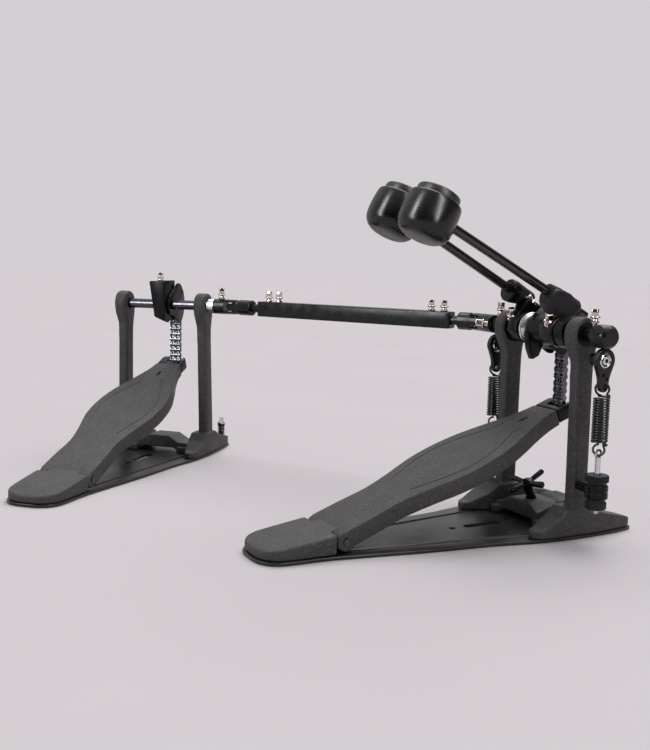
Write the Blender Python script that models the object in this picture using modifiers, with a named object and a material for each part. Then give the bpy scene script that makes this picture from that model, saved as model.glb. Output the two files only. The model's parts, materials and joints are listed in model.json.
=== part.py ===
"""Double bass drum pedal: a main pedal with two beaters, joined by a telescopic drive link to a
slave pedal. Units are metres. The origin is on the floor under the middle of the main shaft:
+X points to the main pedal's spring side, +Y to the drum and +Z up."""

import math

import bmesh
import bpy
from mathutils import Matrix, Vector

# Driving dimensions
SHAFT_HEIGHT = 0.175
POSTS = {
    ("main", "right"): (0.0535, 0.0535),
    ("main", "left"): (-0.0410, -0.0434),
    ("slave", "right"): (0.0500, 0.0530),
    ("slave", "left"): (-0.0515, -0.0530),
}
POST_HALF = 0.0072
HOOD_RADIUS = 0.0143
FOOT_MIDDLE_X = 0.0500
HINGE_Y = -0.2047
HINGE_Z = 0.0123
HINGE_RADIUS = 0.0030
BOARD_ANGLE = math.radians(20.95)
BOARD_LENGTH = 0.254
BOARD_TOP = 0.0083
BOARD_DEPTH = 0.0145
PLATE_THICKNESS = 0.0025
CHAIN_X = 0.003
CAM_PIN_RADIUS = 0.0286
CAM_HALF_WIDTH = 0.0088
CAM_PIN_ANGLE = math.radians(30)
CHAIN_LENGTH = 0.0868
SHAFT_RADIUS = 0.0055
BEARING_RADIUS = 0.0099
RIGHT_BEATER_X = 0.021
LEFT_BEATER_X = -0.0335
BEATER_OFFSET = 0.026
BEATER_REACH = 0.162
RIGHT_BEATER_LEAN = math.radians(63.5)
LEFT_BEATER_LEAN = math.radians(62.0)
BEATER_ROD_RADIUS = 0.004
CRANK_DROP = 0.0195
RIGHT_SPRING_X = 0.082
LEFT_SPRING_X = -0.0595
SEAT_HEIGHT = 0.0467
MAIN_JOINT_X = -0.092
LINK_LENGTH = 0.3009
LINK_TURN = math.radians(30.1)
SLAVE_JOINT_X = 0.0885
SLAVE_TURN = math.radians(45.3)
GAP = 0.0003

PEDAL = "double_bass_drum_pedal"
LOOKS = {
    "textured_black": ((0.045, 0.045, 0.047), 0.75, 0.2),
    "sheet_black": ((0.035, 0.034, 0.036), 0.38, 0.3),
    "machined_black": ((0.02, 0.02, 0.022), 0.32, 0.6),
    "gloss_black": ((0.008, 0.008, 0.009), 0.15, 0.0),
    "beater_black": ((0.012, 0.012, 0.013), 0.3, 0.0),
    "beater_face": ((0.03, 0.032, 0.03), 0.6, 0.0),
    "chrome": ((0.75, 0.75, 0.75), 0.12, 1.0),
    "aluminium": ((0.8, 0.8, 0.82), 0.3, 1.0),
    "chain_steel": ((0.12, 0.12, 0.13), 0.25, 1.0),
    "spring_black": ((0.02, 0.02, 0.02), 0.35, 0.5),
}


# ---------- scene and object helpers ----------


def clear_scene():
    for found in list(bpy.data.objects):
        bpy.data.objects.remove(found)


def new_collection(name):
    made = bpy.data.collections.new(name)
    bpy.context.scene.collection.children.link(made)
    return made


def make_look(name):
    colour, roughness, metallic = LOOKS[name]
    look = bpy.data.materials.new(name)
    look.use_nodes = True
    shader = look.node_tree.nodes["Principled BSDF"]
    shader.inputs["Base Color"].default_value = (*colour, 1)
    shader.inputs["Roughness"].default_value = roughness
    shader.inputs["Metallic"].default_value = metallic
    return look


def empty(name, parent=None, place=(0, 0, 0), turn=(0, 0, 0)):
    made = bpy.data.objects.new(name, None)
    parts.objects.link(made)
    made.parent = parent
    made.location = place
    made.rotation_euler = turn
    return made


def from_bmesh(name, shape, parent, look):
    bmesh.ops.recalc_face_normals(shape, faces=shape.faces)
    mesh = bpy.data.meshes.new(name)
    shape.to_mesh(mesh)
    shape.free()
    mesh.shade_smooth()
    mesh.set_sharp_from_angle(angle=math.radians(35))
    made = bpy.data.objects.new(name, mesh)
    parts.objects.link(made)
    made.parent = parent
    if look:
        mesh.materials.append(looks[look])
    return made


def bevel(target, width, segments=2):
    made = target.modifiers.new("rounded_edges", "BEVEL")
    made.width = width
    made.segments = segments
    made.limit_method = "ANGLE"
    made.angle_limit = math.radians(38)
    return target


def as_helper(helper):
    parts.objects.unlink(helper)
    helpers.objects.link(helper)
    helper.hide_render = True
    helper.display_type = "WIRE"


def combine(target, operation, others):
    for other in others:
        as_helper(other)
        made = target.modifiers.new(other.name, "BOOLEAN")
        made.operation = operation
        made.object = other
    return target


def join(target, *others):
    return combine(target, "UNION", others)


def cut(target, *others):
    return combine(target, "DIFFERENCE", others)


# ---------- shape helpers ----------


def block(name, low, high, parent, look=None):
    """A box between two corners."""
    shape = bmesh.new()
    bmesh.ops.create_cube(shape, size=1)
    size = Vector(high) - Vector(low)
    bmesh.ops.scale(shape, vec=size, verts=shape.verts)
    bmesh.ops.translate(shape, vec=Vector(low) + size / 2, verts=shape.verts)
    return from_bmesh(name, shape, parent, look)


def bar(name, start, end, radius, parent, look=None, end_radius=None, sides=16):
    """A cylinder or cone between two points."""
    start = Vector(start)
    run = Vector(end) - start
    shape = bmesh.new()
    bmesh.ops.create_cone(
        shape,
        cap_ends=True,
        segments=sides,
        radius1=radius,
        radius2=radius if end_radius is None else end_radius,
        depth=run.length,
    )
    turn = run.to_track_quat("Z", "Y").to_matrix().to_4x4()
    bmesh.ops.transform(shape, matrix=Matrix.Translation(start + run / 2) @ turn, verts=shape.verts)
    return from_bmesh(name, shape, parent, look)


def turned(name, profile, parent, look=None, steps=18, place=(0, 0, 0), turn=(0, 0, 0)):
    """A profile of (radius, height) pairs, outer side first from the top, swept round local Z."""
    mesh = bpy.data.meshes.new(name)
    points = [(radius, 0, height) for radius, height in profile]
    closed = profile[0][0] > 0
    edges = [(i, i + 1) for i in range(len(points) - 1)]
    if closed:
        edges.append((len(points) - 1, 0))
    mesh.from_pydata(points, edges, [])
    if look:
        mesh.materials.append(looks[look])
    made = bpy.data.objects.new(name, mesh)
    parts.objects.link(made)
    made.parent = parent
    made.location = place
    made.rotation_euler = turn
    screw = made.modifiers.new("turned", "SCREW")
    screw.steps = steps
    screw.render_steps = steps
    screw.use_merge_vertices = True
    screw.merge_threshold = 0.00001
    screw.use_smooth_shade = True
    return made


ALONG_X = (0, math.radians(90), 0)
WELD = 0.00001


def from_curve(name, curve, parent, look, turn=None):
    """A solid from a filled or thick curve, with its doubled points welded."""
    holder = bpy.data.objects.new(name + "_curve", curve)
    parts.objects.link(holder)
    graph = bpy.context.evaluated_depsgraph_get()
    mesh = bpy.data.meshes.new_from_object(holder.evaluated_get(graph))
    bpy.data.objects.remove(holder)
    shape = bmesh.new()
    shape.from_mesh(mesh)
    bpy.data.meshes.remove(mesh)
    bmesh.ops.remove_doubles(shape, verts=shape.verts, dist=WELD)
    if turn:
        bmesh.ops.transform(shape, matrix=turn, verts=shape.verts)
    return from_bmesh(name, shape, parent, look)


YZ_TO_X = Matrix(((0, 0, 1, 0), (1, 0, 0, 0), (0, 1, 0, 0), (0, 0, 0, 1)))
XZ_TO_Y = Matrix.Rotation(math.radians(90), 4, "X")


def slab(name, outline, low, high, parent, look=None, across="Z"):
    """A flat outline extruded between two planes. Across Z the outline is (x, y), across X it is
    (y, z), and across Y it is (x, z)."""
    curve = bpy.data.curves.new(name, "CURVE")
    curve.dimensions = "2D"
    curve.fill_mode = "BOTH"
    curve.extrude = (high - low) / 2
    spline = curve.splines.new("POLY")
    spline.points.add(len(outline) - 1)
    for point, (a, b) in zip(spline.points, outline):
        point.co = (a, b, 0, 1)
    spline.use_cyclic_u = True
    middle = (low + high) / 2
    turns = {
        "Z": Matrix.Translation((0, 0, middle)),
        "X": Matrix.Translation((middle, 0, 0)) @ YZ_TO_X,
        "Y": Matrix.Translation((0, middle, 0)) @ XZ_TO_Y,
    }
    return from_curve(name, curve, parent, look, turns[across])


def mirrored(half):
    """A closed outline from its right half, which runs from the rear middle to the front middle."""
    return half + [(-x, y) for x, y in reversed(half) if x > 0]


def loft(name, rings, parent, look=None, sides=16, squareness=0.48):
    """Rounded-square rings stacked up: each is (centre x, centre y, z, half width x, half width y)."""
    shape = bmesh.new()
    loops = []
    for cx, cy, z, half_x, half_y in rings:
        loop = []
        for i in range(sides):
            angle = 2 * math.pi * (i + 0.5) / sides
            c = math.cos(angle)
            s = math.sin(angle)
            x = cx + half_x * math.copysign(abs(c) ** squareness, c)
            y = cy + half_y * math.copysign(abs(s) ** squareness, s)
            loop.append(shape.verts.new((x, y, z)))
        loops.append(loop)
    for lower, upper in zip(loops, loops[1:]):
        for i in range(sides):
            j = (i + 1) % sides
            shape.faces.new((lower[i], lower[j], upper[j], upper[i]))
    shape.faces.new(loops[0][::-1])
    shape.faces.new(loops[-1])
    return from_bmesh(name, shape, parent, look)


def ring_bar(name, centre, radius, thickness, parent, look=None, sides=12):
    """A closed wire ring in the YZ plane."""
    curve = bpy.data.curves.new(name, "CURVE")
    curve.dimensions = "3D"
    curve.bevel_depth = thickness
    curve.bevel_resolution = 1
    spline = curve.splines.new("POLY")
    spline.points.add(sides - 1)
    x, y, z = centre
    for i, point in enumerate(spline.points):
        angle = 2 * math.pi * i / sides
        point.co = (x, y + radius * math.cos(angle), z + radius * math.sin(angle), 1)
    spline.use_cyclic_u = True
    return from_curve(name, curve, parent, look)


# ---------- frame of one pedal ----------

BASE_HALF = [
    (0, -0.2765),
    (0.012, -0.2758),
    (0.0215, -0.2715),
    (0.0275, -0.2635),
    (0.0295, -0.252),
    (0.0315, -0.216),
    (0.044, -0.138),
    (0.051, -0.078),
    (0.0585, -0.040),
    (0.0615, 0),
    (0.0600, 0.040),
    (0.0560, 0.066),
    (0.0480, 0.0695),
    (0.0400, 0.0660),
    (0.0350, 0.050),
    (0.0240, 0.044),
    (0, 0.044),
]


SLOT_HALF = [
    (0, -0.0725),
    (0.0032, -0.0715),
    (0.0045, -0.0680),
    (0.0045, -0.0380),
    (0.0032, -0.0345),
    (0, -0.0335),
]


def base_plate(side, pedal):
    """The pressed sheet that the pedal stands on."""
    plate = slab(side + "_base_plate", mirrored(BASE_HALF), 0, PLATE_THICKNESS, pedal, "sheet_black")
    bevel(plate, 0.0005, 1)
    slot = slab(side + "_slot", mirrored(SLOT_HALF), -0.001, 0.004, pedal)
    hole = bar(side + "_plate_hole", (0, -0.085, -0.001), (0, -0.085, 0.004), 0.003, pedal)
    grooves = []
    for sign in (-1, 1):
        rear = Vector((sign * 0.020, -0.205))
        front = Vector((sign * 0.042, -0.030))
        along = (front - rear).normalized()
        side_step = Vector((-along.y, along.x)) * 0.0028
        outline = [rear - side_step, front - side_step, front + side_step, rear + side_step]
        outline = [tuple(point) for point in outline]
        grooves.append(slab(side + "_groove", outline, PLATE_THICKNESS - 0.0008, 0.004, pedal))
    return cut(plate, slot, hole, *grooves)


HEEL_HALF = [
    (0, -0.2752),
    (0.0118, -0.2744),
    (0.0208, -0.2702),
    (0.0266, -0.2625),
    (0.0285, -0.2515),
    (0.0295, -0.2134),
    (0.0168, -0.2134),
    (0.0168, -0.1936),
    (0, -0.1936),
]


def heel_plate(side, pedal):
    """The wedge under the heel, with the tongue that carries the hinge pin."""
    low = PLATE_THICKNESS + GAP
    heel = slab(side + "_heel_plate", mirrored(HEEL_HALF), low, 0.030, pedal, "textured_black")
    wedge = block(side + "_heel_slope", (-0.05, -0.12, 0), (0.05, 0.12, 0.05), pedal)
    wedge.location = (0, -0.244, 0.0148)
    wedge.rotation_euler = (math.radians(8.2), 0, 0)
    hole_start = (-0.03, HINGE_Y, HINGE_Z)
    hole_end = (0.03, HINGE_Y, HINGE_Z)
    pin_hole = bar(side + "_heel_pin_hole", hole_start, hole_end, HINGE_RADIUS + GAP, pedal)
    cut(heel, wedge)
    bevel(heel, 0.0020, 2)
    return cut(heel, pin_hole)


def hinge_pin(side, pedal):
    reach = 0.0292
    start = (-reach, HINGE_Y, HINGE_Z)
    end = (reach, HINGE_Y, HINGE_Z)
    return bar(side + "_hinge_pin", start, end, HINGE_RADIUS, pedal, "chrome", sides=16)


SHANK = [
    (0.006, 0.0045, 0.0064, 0.0080),
    (0.128, 0.0030, 0.0057, 0.0088),
    (0.139, 0.0026, 0.0058, 0.0090),
    (0.151, 0.0026, 0.0064, 0.0090),
    (0.161, 0.0010, 0.0070, 0.0122),
]
HOOD_STEPS = (0, 27, 50, 68, 81)
LEAN_TOP = 0.150


def post_rings(top_x, foot_x):
    """Rings of the post from its foot to the hood round the shaft."""
    low = SHANK[0][0]
    rows = list(SHANK)
    for degrees in HOOD_STEPS:
        angle = math.radians(degrees)
        half_x = POST_HALF - 0.003 * math.sin(angle) ** 4
        z = SHAFT_HEIGHT + HOOD_RADIUS * math.sin(angle)
        rows.append((z, 0, half_x, HOOD_RADIUS * math.cos(angle)))
    rings = []
    for z, y, half_x, half_y in rows:
        drop = max(0.0, (LEAN_TOP - z) / (LEAN_TOP - low))
        rings.append((top_x + (foot_x - top_x) * drop, y, z, half_x, half_y))
    return rings


def foot_outline(inner):
    """The foot seen from above, on the right; inner is where its inner side lies."""
    return [
        (0.0430, -0.030),
        (0.0462, -0.0385),
        (0.0510, -0.0415),
        (0.0560, -0.0395),
        (0.0600, -0.031),
        (0.0612, 0),
        (0.0598, 0.036),
        (0.0555, 0.0640),
        (0.0485, 0.0675),
        (0.0425, 0.0625),
        (0.0405, 0.044),
        (inner, 0.030),
        (inner, -0.012),
    ]


FOOT_INNER = {("main", "left"): 0.0345}
FOOT_INNER_USUAL = 0.0405
FOOT_SIDE = [
    (-0.045, 0.0028),
    (-0.045, 0.0085),
    (-0.033, 0.0105),
    (-0.018, 0.0190),
    (-0.009, 0.0270),
    (0.015, 0.0270),
    (0.022, 0.0225),
    (0.070, 0.0095),
    (0.072, 0.0028),
]


def post(side, hand, bore, pedal):
    """An upright cast in one with its foot."""
    name = f"{side}_post_{hand}"
    top_x, foot_x = POSTS[side, hand]
    sign = math.copysign(1, top_x)
    upright = loft(name, post_rings(top_x, foot_x), pedal, "textured_black")
    inner = FOOT_INNER.get((side, hand), FOOT_INNER_USUAL)
    outline = [(sign * x, y) for x, y in foot_outline(inner)]
    foot = slab(name + "_foot", outline, 0.0028, 0.05, pedal)
    middle = sign * FOOT_MIDDLE_X
    reach = 0.022
    profile = slab(name + "_foot_side", FOOT_SIDE, middle - reach, middle + reach, pedal, across="X")
    combine(foot, "INTERSECT", [profile])
    bevel(foot, 0.0018, 1)
    join(upright, foot)
    start = (top_x - 0.012, 0, SHAFT_HEIGHT)
    end = (top_x + 0.012, 0, SHAFT_HEIGHT)
    return cut(upright, bar(name + "_bore", start, end, bore, pedal, sides=28))


def crossbar(side, pedal):
    """The arched casting between the two feet."""
    right = FOOT_INNER_USUAL - GAP
    left = FOOT_INNER.get((side, "left"), FOOT_INNER_USUAL) - GAP
    arch = [
        (-left, 0.0028),
        (-0.027, 0.0028),
        (-0.019, 0.0075),
        (0.019, 0.0075),
        (0.027, 0.0028),
        (right, 0.0028),
        (right, 0.0125),
        (0.0250, 0.0145),
        (0.0130, 0.0215),
        (-0.0130, 0.0215),
        (-0.0250, 0.0145),
        (-left, 0.0125),
    ]
    bar_body = slab(side + "_crossbar", arch, -0.0135, 0.0165, pedal, "textured_black", across="Y")
    return bevel(bar_body, 0.0014, 1)


# ---------- footboard, cam and chain of one pedal ----------


def board_half(inset):
    """Right half of the hourglass outline, as (x, distance along the board)."""
    widths = [
        (0.0000, 0.0288),
        (0.0270, 0.0284),
        (0.0530, 0.0272),
        (0.0780, 0.0318),
        (0.1060, 0.0392),
        (0.1310, 0.0412),
        (0.1560, 0.0386),
        (0.1790, 0.0316),
        (0.2000, 0.0236),
        (0.2190, 0.0176),
        (0.2345, 0.0152),
    ]
    return [(width - inset, along) for along, width in widths]


def groove_path(parent):
    """The engraved line on the board: two long arcs that meet in a point near the toe."""
    curve = bpy.data.curves.new("groove", "CURVE")
    curve.dimensions = "3D"
    curve.bevel_depth = 0.0006
    curve.bevel_resolution = 0
    curve.use_fill_caps = True
    rear = 0.072
    front = 0.196
    count = 16
    for sign in (-1, 1):
        spline = curve.splines.new("POLY")
        spline.points.add(count - 1)
        for i, point in enumerate(spline.points):
            along = i / (count - 1)
            width = 0.0125 + 0.0190 * math.sin(math.pi * min(1.0, 0.10 + 0.98 * along) ** 1.15)
            point.co = (sign * width, rear + (front - rear) * along, BOARD_TOP, 1)
    return from_curve("groove_cutter", curve, parent, None)


TONGUE_ROOM = 0.0165


def footboard(side, hinge):
    """A ribbed shell: the hinge pin is its local X axis and its length runs along local Y."""
    low = BOARD_TOP - BOARD_DEPTH
    board = slab(side + "_footboard", smooth_outline(0), low, BOARD_TOP, hinge, "textured_black")
    bevel(board, 0.0014, 1)
    hollow = slab(side + "_board_hollow", smooth_outline(0.0042), low - 0.01, BOARD_TOP - 0.0048, hinge)
    hollow_end = block(side + "_hollow_end", (-0.04, 0.012, low - 0.02), (0.04, 0.222, 0.02), hinge)
    combine(hollow, "INTERSECT", [hollow_end])
    tongue_room = block(side + "_tongue_room", (-0.0176, -0.02, -0.03), (0.0176, TONGUE_ROOM, 0.03), hinge)
    ears = []
    for sign in (-1, 1):
        inner = (sign * 0.0160, 0, 0)
        outer = (sign * 0.0284, 0, 0)
        ears.append(bar(side + "_ear", inner, outer, BOARD_TOP - 0.0004, hinge, sides=24))
    pin_hole = bar(side + "_board_pin_hole", (-0.04, 0, 0), (0.04, 0, 0), 0.0034, hinge)
    slot_low = (-0.0095, 0.2190, -0.03)
    slot_high = (0.0095, 0.2400, BOARD_TOP - 0.0046)
    bracket_slot = block(side + "_bracket_slot", slot_low, slot_high, hinge)
    toe_slot = slab(
        side + "_toe_slot",
        [(-0.0016, 0.2035), (0.0016, 0.2035), (0.0016, 0.2135), (-0.0016, 0.2135)],
        -0.02,
        0.02,
        hinge,
    )
    cut(board, hollow)
    join(board, *ears)
    return cut(board, tongue_room, pin_hole, bracket_slot, toe_slot, groove_path(hinge))


def smooth_outline(inset):
    """The board's outline with its sides rounded by a Catmull-Rom curve."""
    half = board_half(inset)
    fine = []
    steps = 4
    for i in range(len(half) - 1):
        before = Vector(half[max(i - 1, 0)])
        start = Vector(half[i])
        end = Vector(half[i + 1])
        after = Vector(half[min(i + 2, len(half) - 1)])
        for step in range(steps):
            t = step / steps
            point = 0.5 * (
                2 * start
                + (end - before) * t
                + (2 * before - 5 * start + 4 * end - after) * t * t
                + (3 * start - before - 3 * end + after) * t**3
            )
            fine.append(tuple(point))
    fine.append(half[-1])
    return fine + [(-x, y) for x, y in reversed(fine)]


def toe_bracket(side, hinge):
    """The fork at the toe that holds the chain's last link."""
    low = (-0.0150, 0.2350, -0.0052)
    high = (0.0150, BOARD_LENGTH, BOARD_TOP)
    bracket = block(side + "_toe_bracket", low, high, hinge, "machined_black")
    bevel(bracket, 0.0014, 1)
    tongue_low = (-0.0088, 0.2200, -0.0050)
    tongue_high = (0.0088, 0.2400, BOARD_TOP - 0.0052)
    tongue = block(side + "_bracket_tongue", tongue_low, tongue_high, hinge)
    room_low = (CHAIN_X - 0.0086, 0.2405, -0.02)
    room_high = (CHAIN_X + 0.0086, 0.2600, 0.02)
    chain_room = block(side + "_chain_room", room_low, room_high, hinge)
    join(bracket, tongue)
    return cut(bracket, chain_room)


def cam_sector(side, axis, x_low, x_high, radius, first, last):
    """A cam plate: an arc about the shaft from first to last degrees, closed round the hub."""
    outline = []
    for i in range(17):
        angle = math.radians(first + (last - first) * i / 16)
        outline.append((radius * math.cos(angle), radius * math.sin(angle)))
    hub = 0.0115
    for i in range(9):
        angle = math.radians(last + 20 + (320 - (last - first)) * i / 8)
        outline.append((hub * math.cos(angle), hub * math.sin(angle)))
    return slab(side + "_cam_plate", outline, x_low, x_high, axis, across="X")


CAM_BLOCK = [
    (-0.0125, -0.0165),
    (0.0080, -0.0125),
    (0.0105, 0.0275),
    (-0.0155, 0.0275),
    (-0.0155, 0.0220),
]
CAM_RADIUS = 0.0305
CORE_RADIUS = 0.0195


def cam(side, axis, look, with_block):
    """A flanged cam with a narrow core, so that the chain hangs between its flanges."""
    name = side + "_cam"
    low = CHAIN_X - CAM_HALF_WIDTH
    high = CHAIN_X + CAM_HALF_WIDTH
    body = bar(name, (low, 0, 0), (high, 0, 0), 0.0128, axis, look, sides=24)
    flange_inner = 0.0071
    flanges = [
        cam_sector(side, axis, low, CHAIN_X - flange_inner, CAM_RADIUS, -75, 62),
        cam_sector(side, axis, CHAIN_X + flange_inner, high, CAM_RADIUS, -75, 62),
    ]
    core = cam_sector(side, axis, low + 0.0004, high - 0.0004, CORE_RADIUS, -80, 70)
    pin_y = CAM_PIN_RADIUS * math.cos(CAM_PIN_ANGLE)
    pin_z = CAM_PIN_RADIUS * math.sin(CAM_PIN_ANGLE)
    pin_start = (low + 0.0004, pin_y, pin_z)
    pin_end = (high - 0.0004, pin_y, pin_z)
    pin = bar(name + "_pin", pin_start, pin_end, 0.0014, axis, sides=12)
    join(body, core, *flanges, pin)
    if with_block:
        head = slab(name + "_block", CAM_BLOCK, -0.0115, 0.0085, axis, across="X")
        bevel(head, 0.0010, 1)
        join(body, head)
    bore = bar(name + "_bore", (low - 0.01, 0, 0), (high + 0.01, 0, 0), SHAFT_RADIUS + GAP, axis)
    return cut(body, bore)


def chain(side, pivot):
    """The double chain from the cam pin down to the toe, as a plain strip."""
    half_width = 0.0066
    half_depth = 0.0028
    low = (CHAIN_X - half_width, -half_depth, -CHAIN_LENGTH)
    high = (CHAIN_X + half_width, half_depth, half_depth)
    strip = block(side + "_chain", low, high, pivot, "chain_steel")
    bevel(strip, 0.0008, 1)
    hole_start = (CHAIN_X - 0.02, 0, 0)
    hole_end = (CHAIN_X + 0.02, 0, 0)
    hole = bar(side + "_chain_hole", hole_start, hole_end, 0.0018, pivot, sides=12)
    return cut(strip, hole)


# ---------- beaters ----------


HUB_TUBE_RADIUS = 0.0085
FIN_OUTLINE = [
    (-0.0130, -0.0030),
    (-0.0060, -0.0125),
    (0.0080, -0.0130),
    (0.0240, -0.0080),
    (0.0345, 0.0060),
    (0.0345, 0.0250),
    (0.0190, 0.0250),
    (0.0120, 0.0180),
    (-0.0020, 0.0145),
    (-0.0120, 0.0080),
]
ARM_OUTLINE = [
    (-0.0130, 0.0020),
    (-0.0110, -0.0090),
    (0.0040, -0.0140),
    (0.0330, -0.0130),
    (0.0330, 0.0120),
    (0.0040, 0.0140),
    (-0.0080, 0.0115),
]


def beater_holder(side, axis, x, lean, low_x, high_x, finned):
    """The arm that clamps the beater rod off the shaft. The right one is a broad fin."""
    arm = empty(f"{side}_holder_frame", axis, (x, 0, 0), (lean, 0, 0))
    bore = (SHAFT_RADIUS if finned else HUB_TUBE_RADIUS) + GAP
    outline = FIN_OUTLINE if finned else ARM_OUTLINE
    name = side + "_beater_holder"
    holder = slab(name, outline, low_x - x, high_x - x, arm, "machined_black", across="X")
    bevel(holder, 0.0013, 1)
    barrel = bar(
        side + "_rod_barrel",
        (0, BEATER_OFFSET, -0.015),
        (0, BEATER_OFFSET, 0.026),
        0.0088 if finned else 0.0072,
        arm,
        end_radius=0.0070 if finned else 0.0107,
        sides=20,
    )
    shaft_hole = bar(side + "_holder_bore", (-0.03, 0, 0), (0.03, 0, 0), bore, arm, sides=24)
    rod_hole = bar(
        side + "_rod_hole",
        (0, BEATER_OFFSET, -0.04),
        (0, BEATER_OFFSET, 0.06),
        BEATER_ROD_RADIUS + GAP,
        arm,
    )
    join(holder, barrel)
    return cut(holder, shaft_hole, rod_hole)


HEAD_PROFILE = [
    (0, 0.0175),
    (0.0225, 0.0175),
    (0.0240, 0.0165),
    (0.0250, 0.0140),
    (0.0251, 0.0060),
    (0.0244, -0.0040),
    (0.0226, -0.0115),
    (0.0196, -0.0165),
    (0.0155, -0.0195),
    (0.0100, -0.0210),
    (0, -0.0212),
]
FACE_PROFILE = [
    (0, 0.0242),
    (0.0195, 0.0240),
    (0.0215, 0.0232),
    (0.0224, 0.0215),
    (0.0226, 0.0178),
    (0, 0.0178),
]


def beater(side, axis, x, lean):
    """The rod, its barrel head and the struck face. Local Z runs along the rod, +Y to the drum."""
    line = empty(f"{side}_beater_line", axis, (x, 0, 0), (lean, 0, 0))
    rod = bar(
        side + "_beater_rod",
        (0, BEATER_OFFSET, -0.024),
        (0, BEATER_OFFSET, BEATER_REACH + 0.012),
        BEATER_ROD_RADIUS,
        line,
        "gloss_black",
        sides=16,
    )
    bevel(rod, 0.0006, 1)
    forward = (-math.radians(90), 0, 0)
    place = (0, BEATER_OFFSET, BEATER_REACH)
    head = turned(side + "_beater_head", HEAD_PROFILE, line, "beater_black", 26, place, forward)
    rod_hole = bar(
        side + "_head_hole",
        (0, BEATER_OFFSET, BEATER_REACH - 0.05),
        (0, BEATER_OFFSET, BEATER_REACH + 0.0125),
        BEATER_ROD_RADIUS + GAP,
        line,
    )
    cut(head, rod_hole)
    turned(side + "_beater_face", FACE_PROFILE, line, "beater_face", 26, place, forward)


# ---------- springs and cranks ----------


def crank_arm(name, x_low, x_high, pin_low, pin_high, axis):
    """A collar on the shaft with an arm down to the spring link's pin and the pin itself."""
    outline = []
    for i in range(9):
        angle = math.radians(180 * i / 8)
        outline.append((0.0095 * math.cos(angle), 0.0095 * math.sin(angle)))
    for i in range(9):
        angle = math.radians(180 + 180 * i / 8)
        outline.append((0.0052 * math.cos(angle), -CRANK_DROP + 0.0052 * math.sin(angle)))
    arm = slab(name, outline, x_low, x_high, axis, "machined_black", across="X")
    bevel(arm, 0.0007, 1)
    pin = bar(name + "_pin", (pin_low, 0, -CRANK_DROP), (pin_high, 0, -CRANK_DROP), 0.0026, axis, sides=14)
    return join(arm, pin)


COLLAR_PROFILE = [
    (0.0088, 0.0745),
    (0.0088, 0.0690),
    (0.0105, 0.0680),
    (0.0105, 0.0655),
    (0.0118, 0.0645),
    (0.0118, 0.0611),
    (0.0040, 0.0611),
    (0.0040, 0.0745),
]


def right_crank(axis):
    arm = crank_arm("right_crank", 0.0715, 0.0775, 0.0765, 0.0870, axis)
    collar = turned(
        "right_collar",
        COLLAR_PROFILE,
        axis,
        turn=ALONG_X,
    )
    bore = bar("right_crank_bore", (0.05, 0, 0), (0.09, 0, 0), SHAFT_RADIUS + GAP, axis)
    join(arm, collar)
    cut(arm, bore)


def left_crank(axis):
    arm = crank_arm("left_crank", -0.0542, -0.0488, -0.0635, -0.0536, axis)
    bore = bar("left_crank_bore", (-0.08, 0, 0), (-0.04, 0, 0), SHAFT_RADIUS + GAP, axis)
    cut(arm, bore)


HOOK_DROP = 0.0215


def swivel_link(side, x, pivot):
    """The teardrop link between the crank pin and the spring."""
    outline = []
    for i in range(15):
        angle = math.radians(-20 + 220 * i / 14)
        outline.append((0.0092 * math.cos(angle), 0.0092 * math.sin(angle)))
    for i in range(7):
        angle = math.radians(180 + 180 * i / 6)
        outline.append((0.0046 * math.cos(angle), -HOOK_DROP + 0.0046 * math.sin(angle)))
    link = slab(side + "_swivel_link", outline, x - 0.0024, x + 0.0024, pivot, "machined_black", across="X")
    bevel(link, 0.0006, 1)
    eye = bar(side + "_link_eye", (x - 0.01, 0, 0), (x + 0.01, 0, 0), 0.0062, pivot, sides=24)
    hook_start = (x - 0.01, 0, -HOOK_DROP)
    hook_end = (x + 0.01, 0, -HOOK_DROP)
    hook_hole = bar(side + "_hook_hole", hook_start, hook_end, 0.0020, pivot, sides=12)
    cut(link, eye, hook_hole)
    ring = [(0.0059, 0.0022), (0.0059, -0.0022), (0.0030, -0.0022), (0.0030, 0.0022)]
    turned(side + "_link_bearing", ring, pivot, "chrome", 18, (x, 0, 0), ALONG_X)


BLOCK_PROFILE = [
    (0.0088, 0.0060),
    (0.0095, 0.0052),
    (0.0095, -0.0052),
    (0.0088, -0.0060),
    (0.0031, -0.0060),
    (0.0031, 0.0060),
]
NUT_PROFILE = [
    (0.0090, 0.0140),
    (0.0098, 0.0132),
    (0.0098, 0.0090),
    (0.0090, 0.0082),
    (0.0078, 0.0080),
    (0.0078, 0.0064),
    (0.0031, 0.0064),
    (0.0031, 0.0140),
]
LOCK_NUT_PROFILE = [
    (0.0076, -0.0064),
    (0.0076, -0.0080),
    (0.0086, -0.0082),
    (0.0088, -0.0090),
    (0.0088, -0.0140),
    (0.0082, -0.0148),
    (0.0020, -0.0148),
    (0.0020, -0.0064),
]
SPRING_RADIUS = 0.0070
SPRING_LOW = 0.0395
SPRING_HIGH = 0.0800


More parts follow.
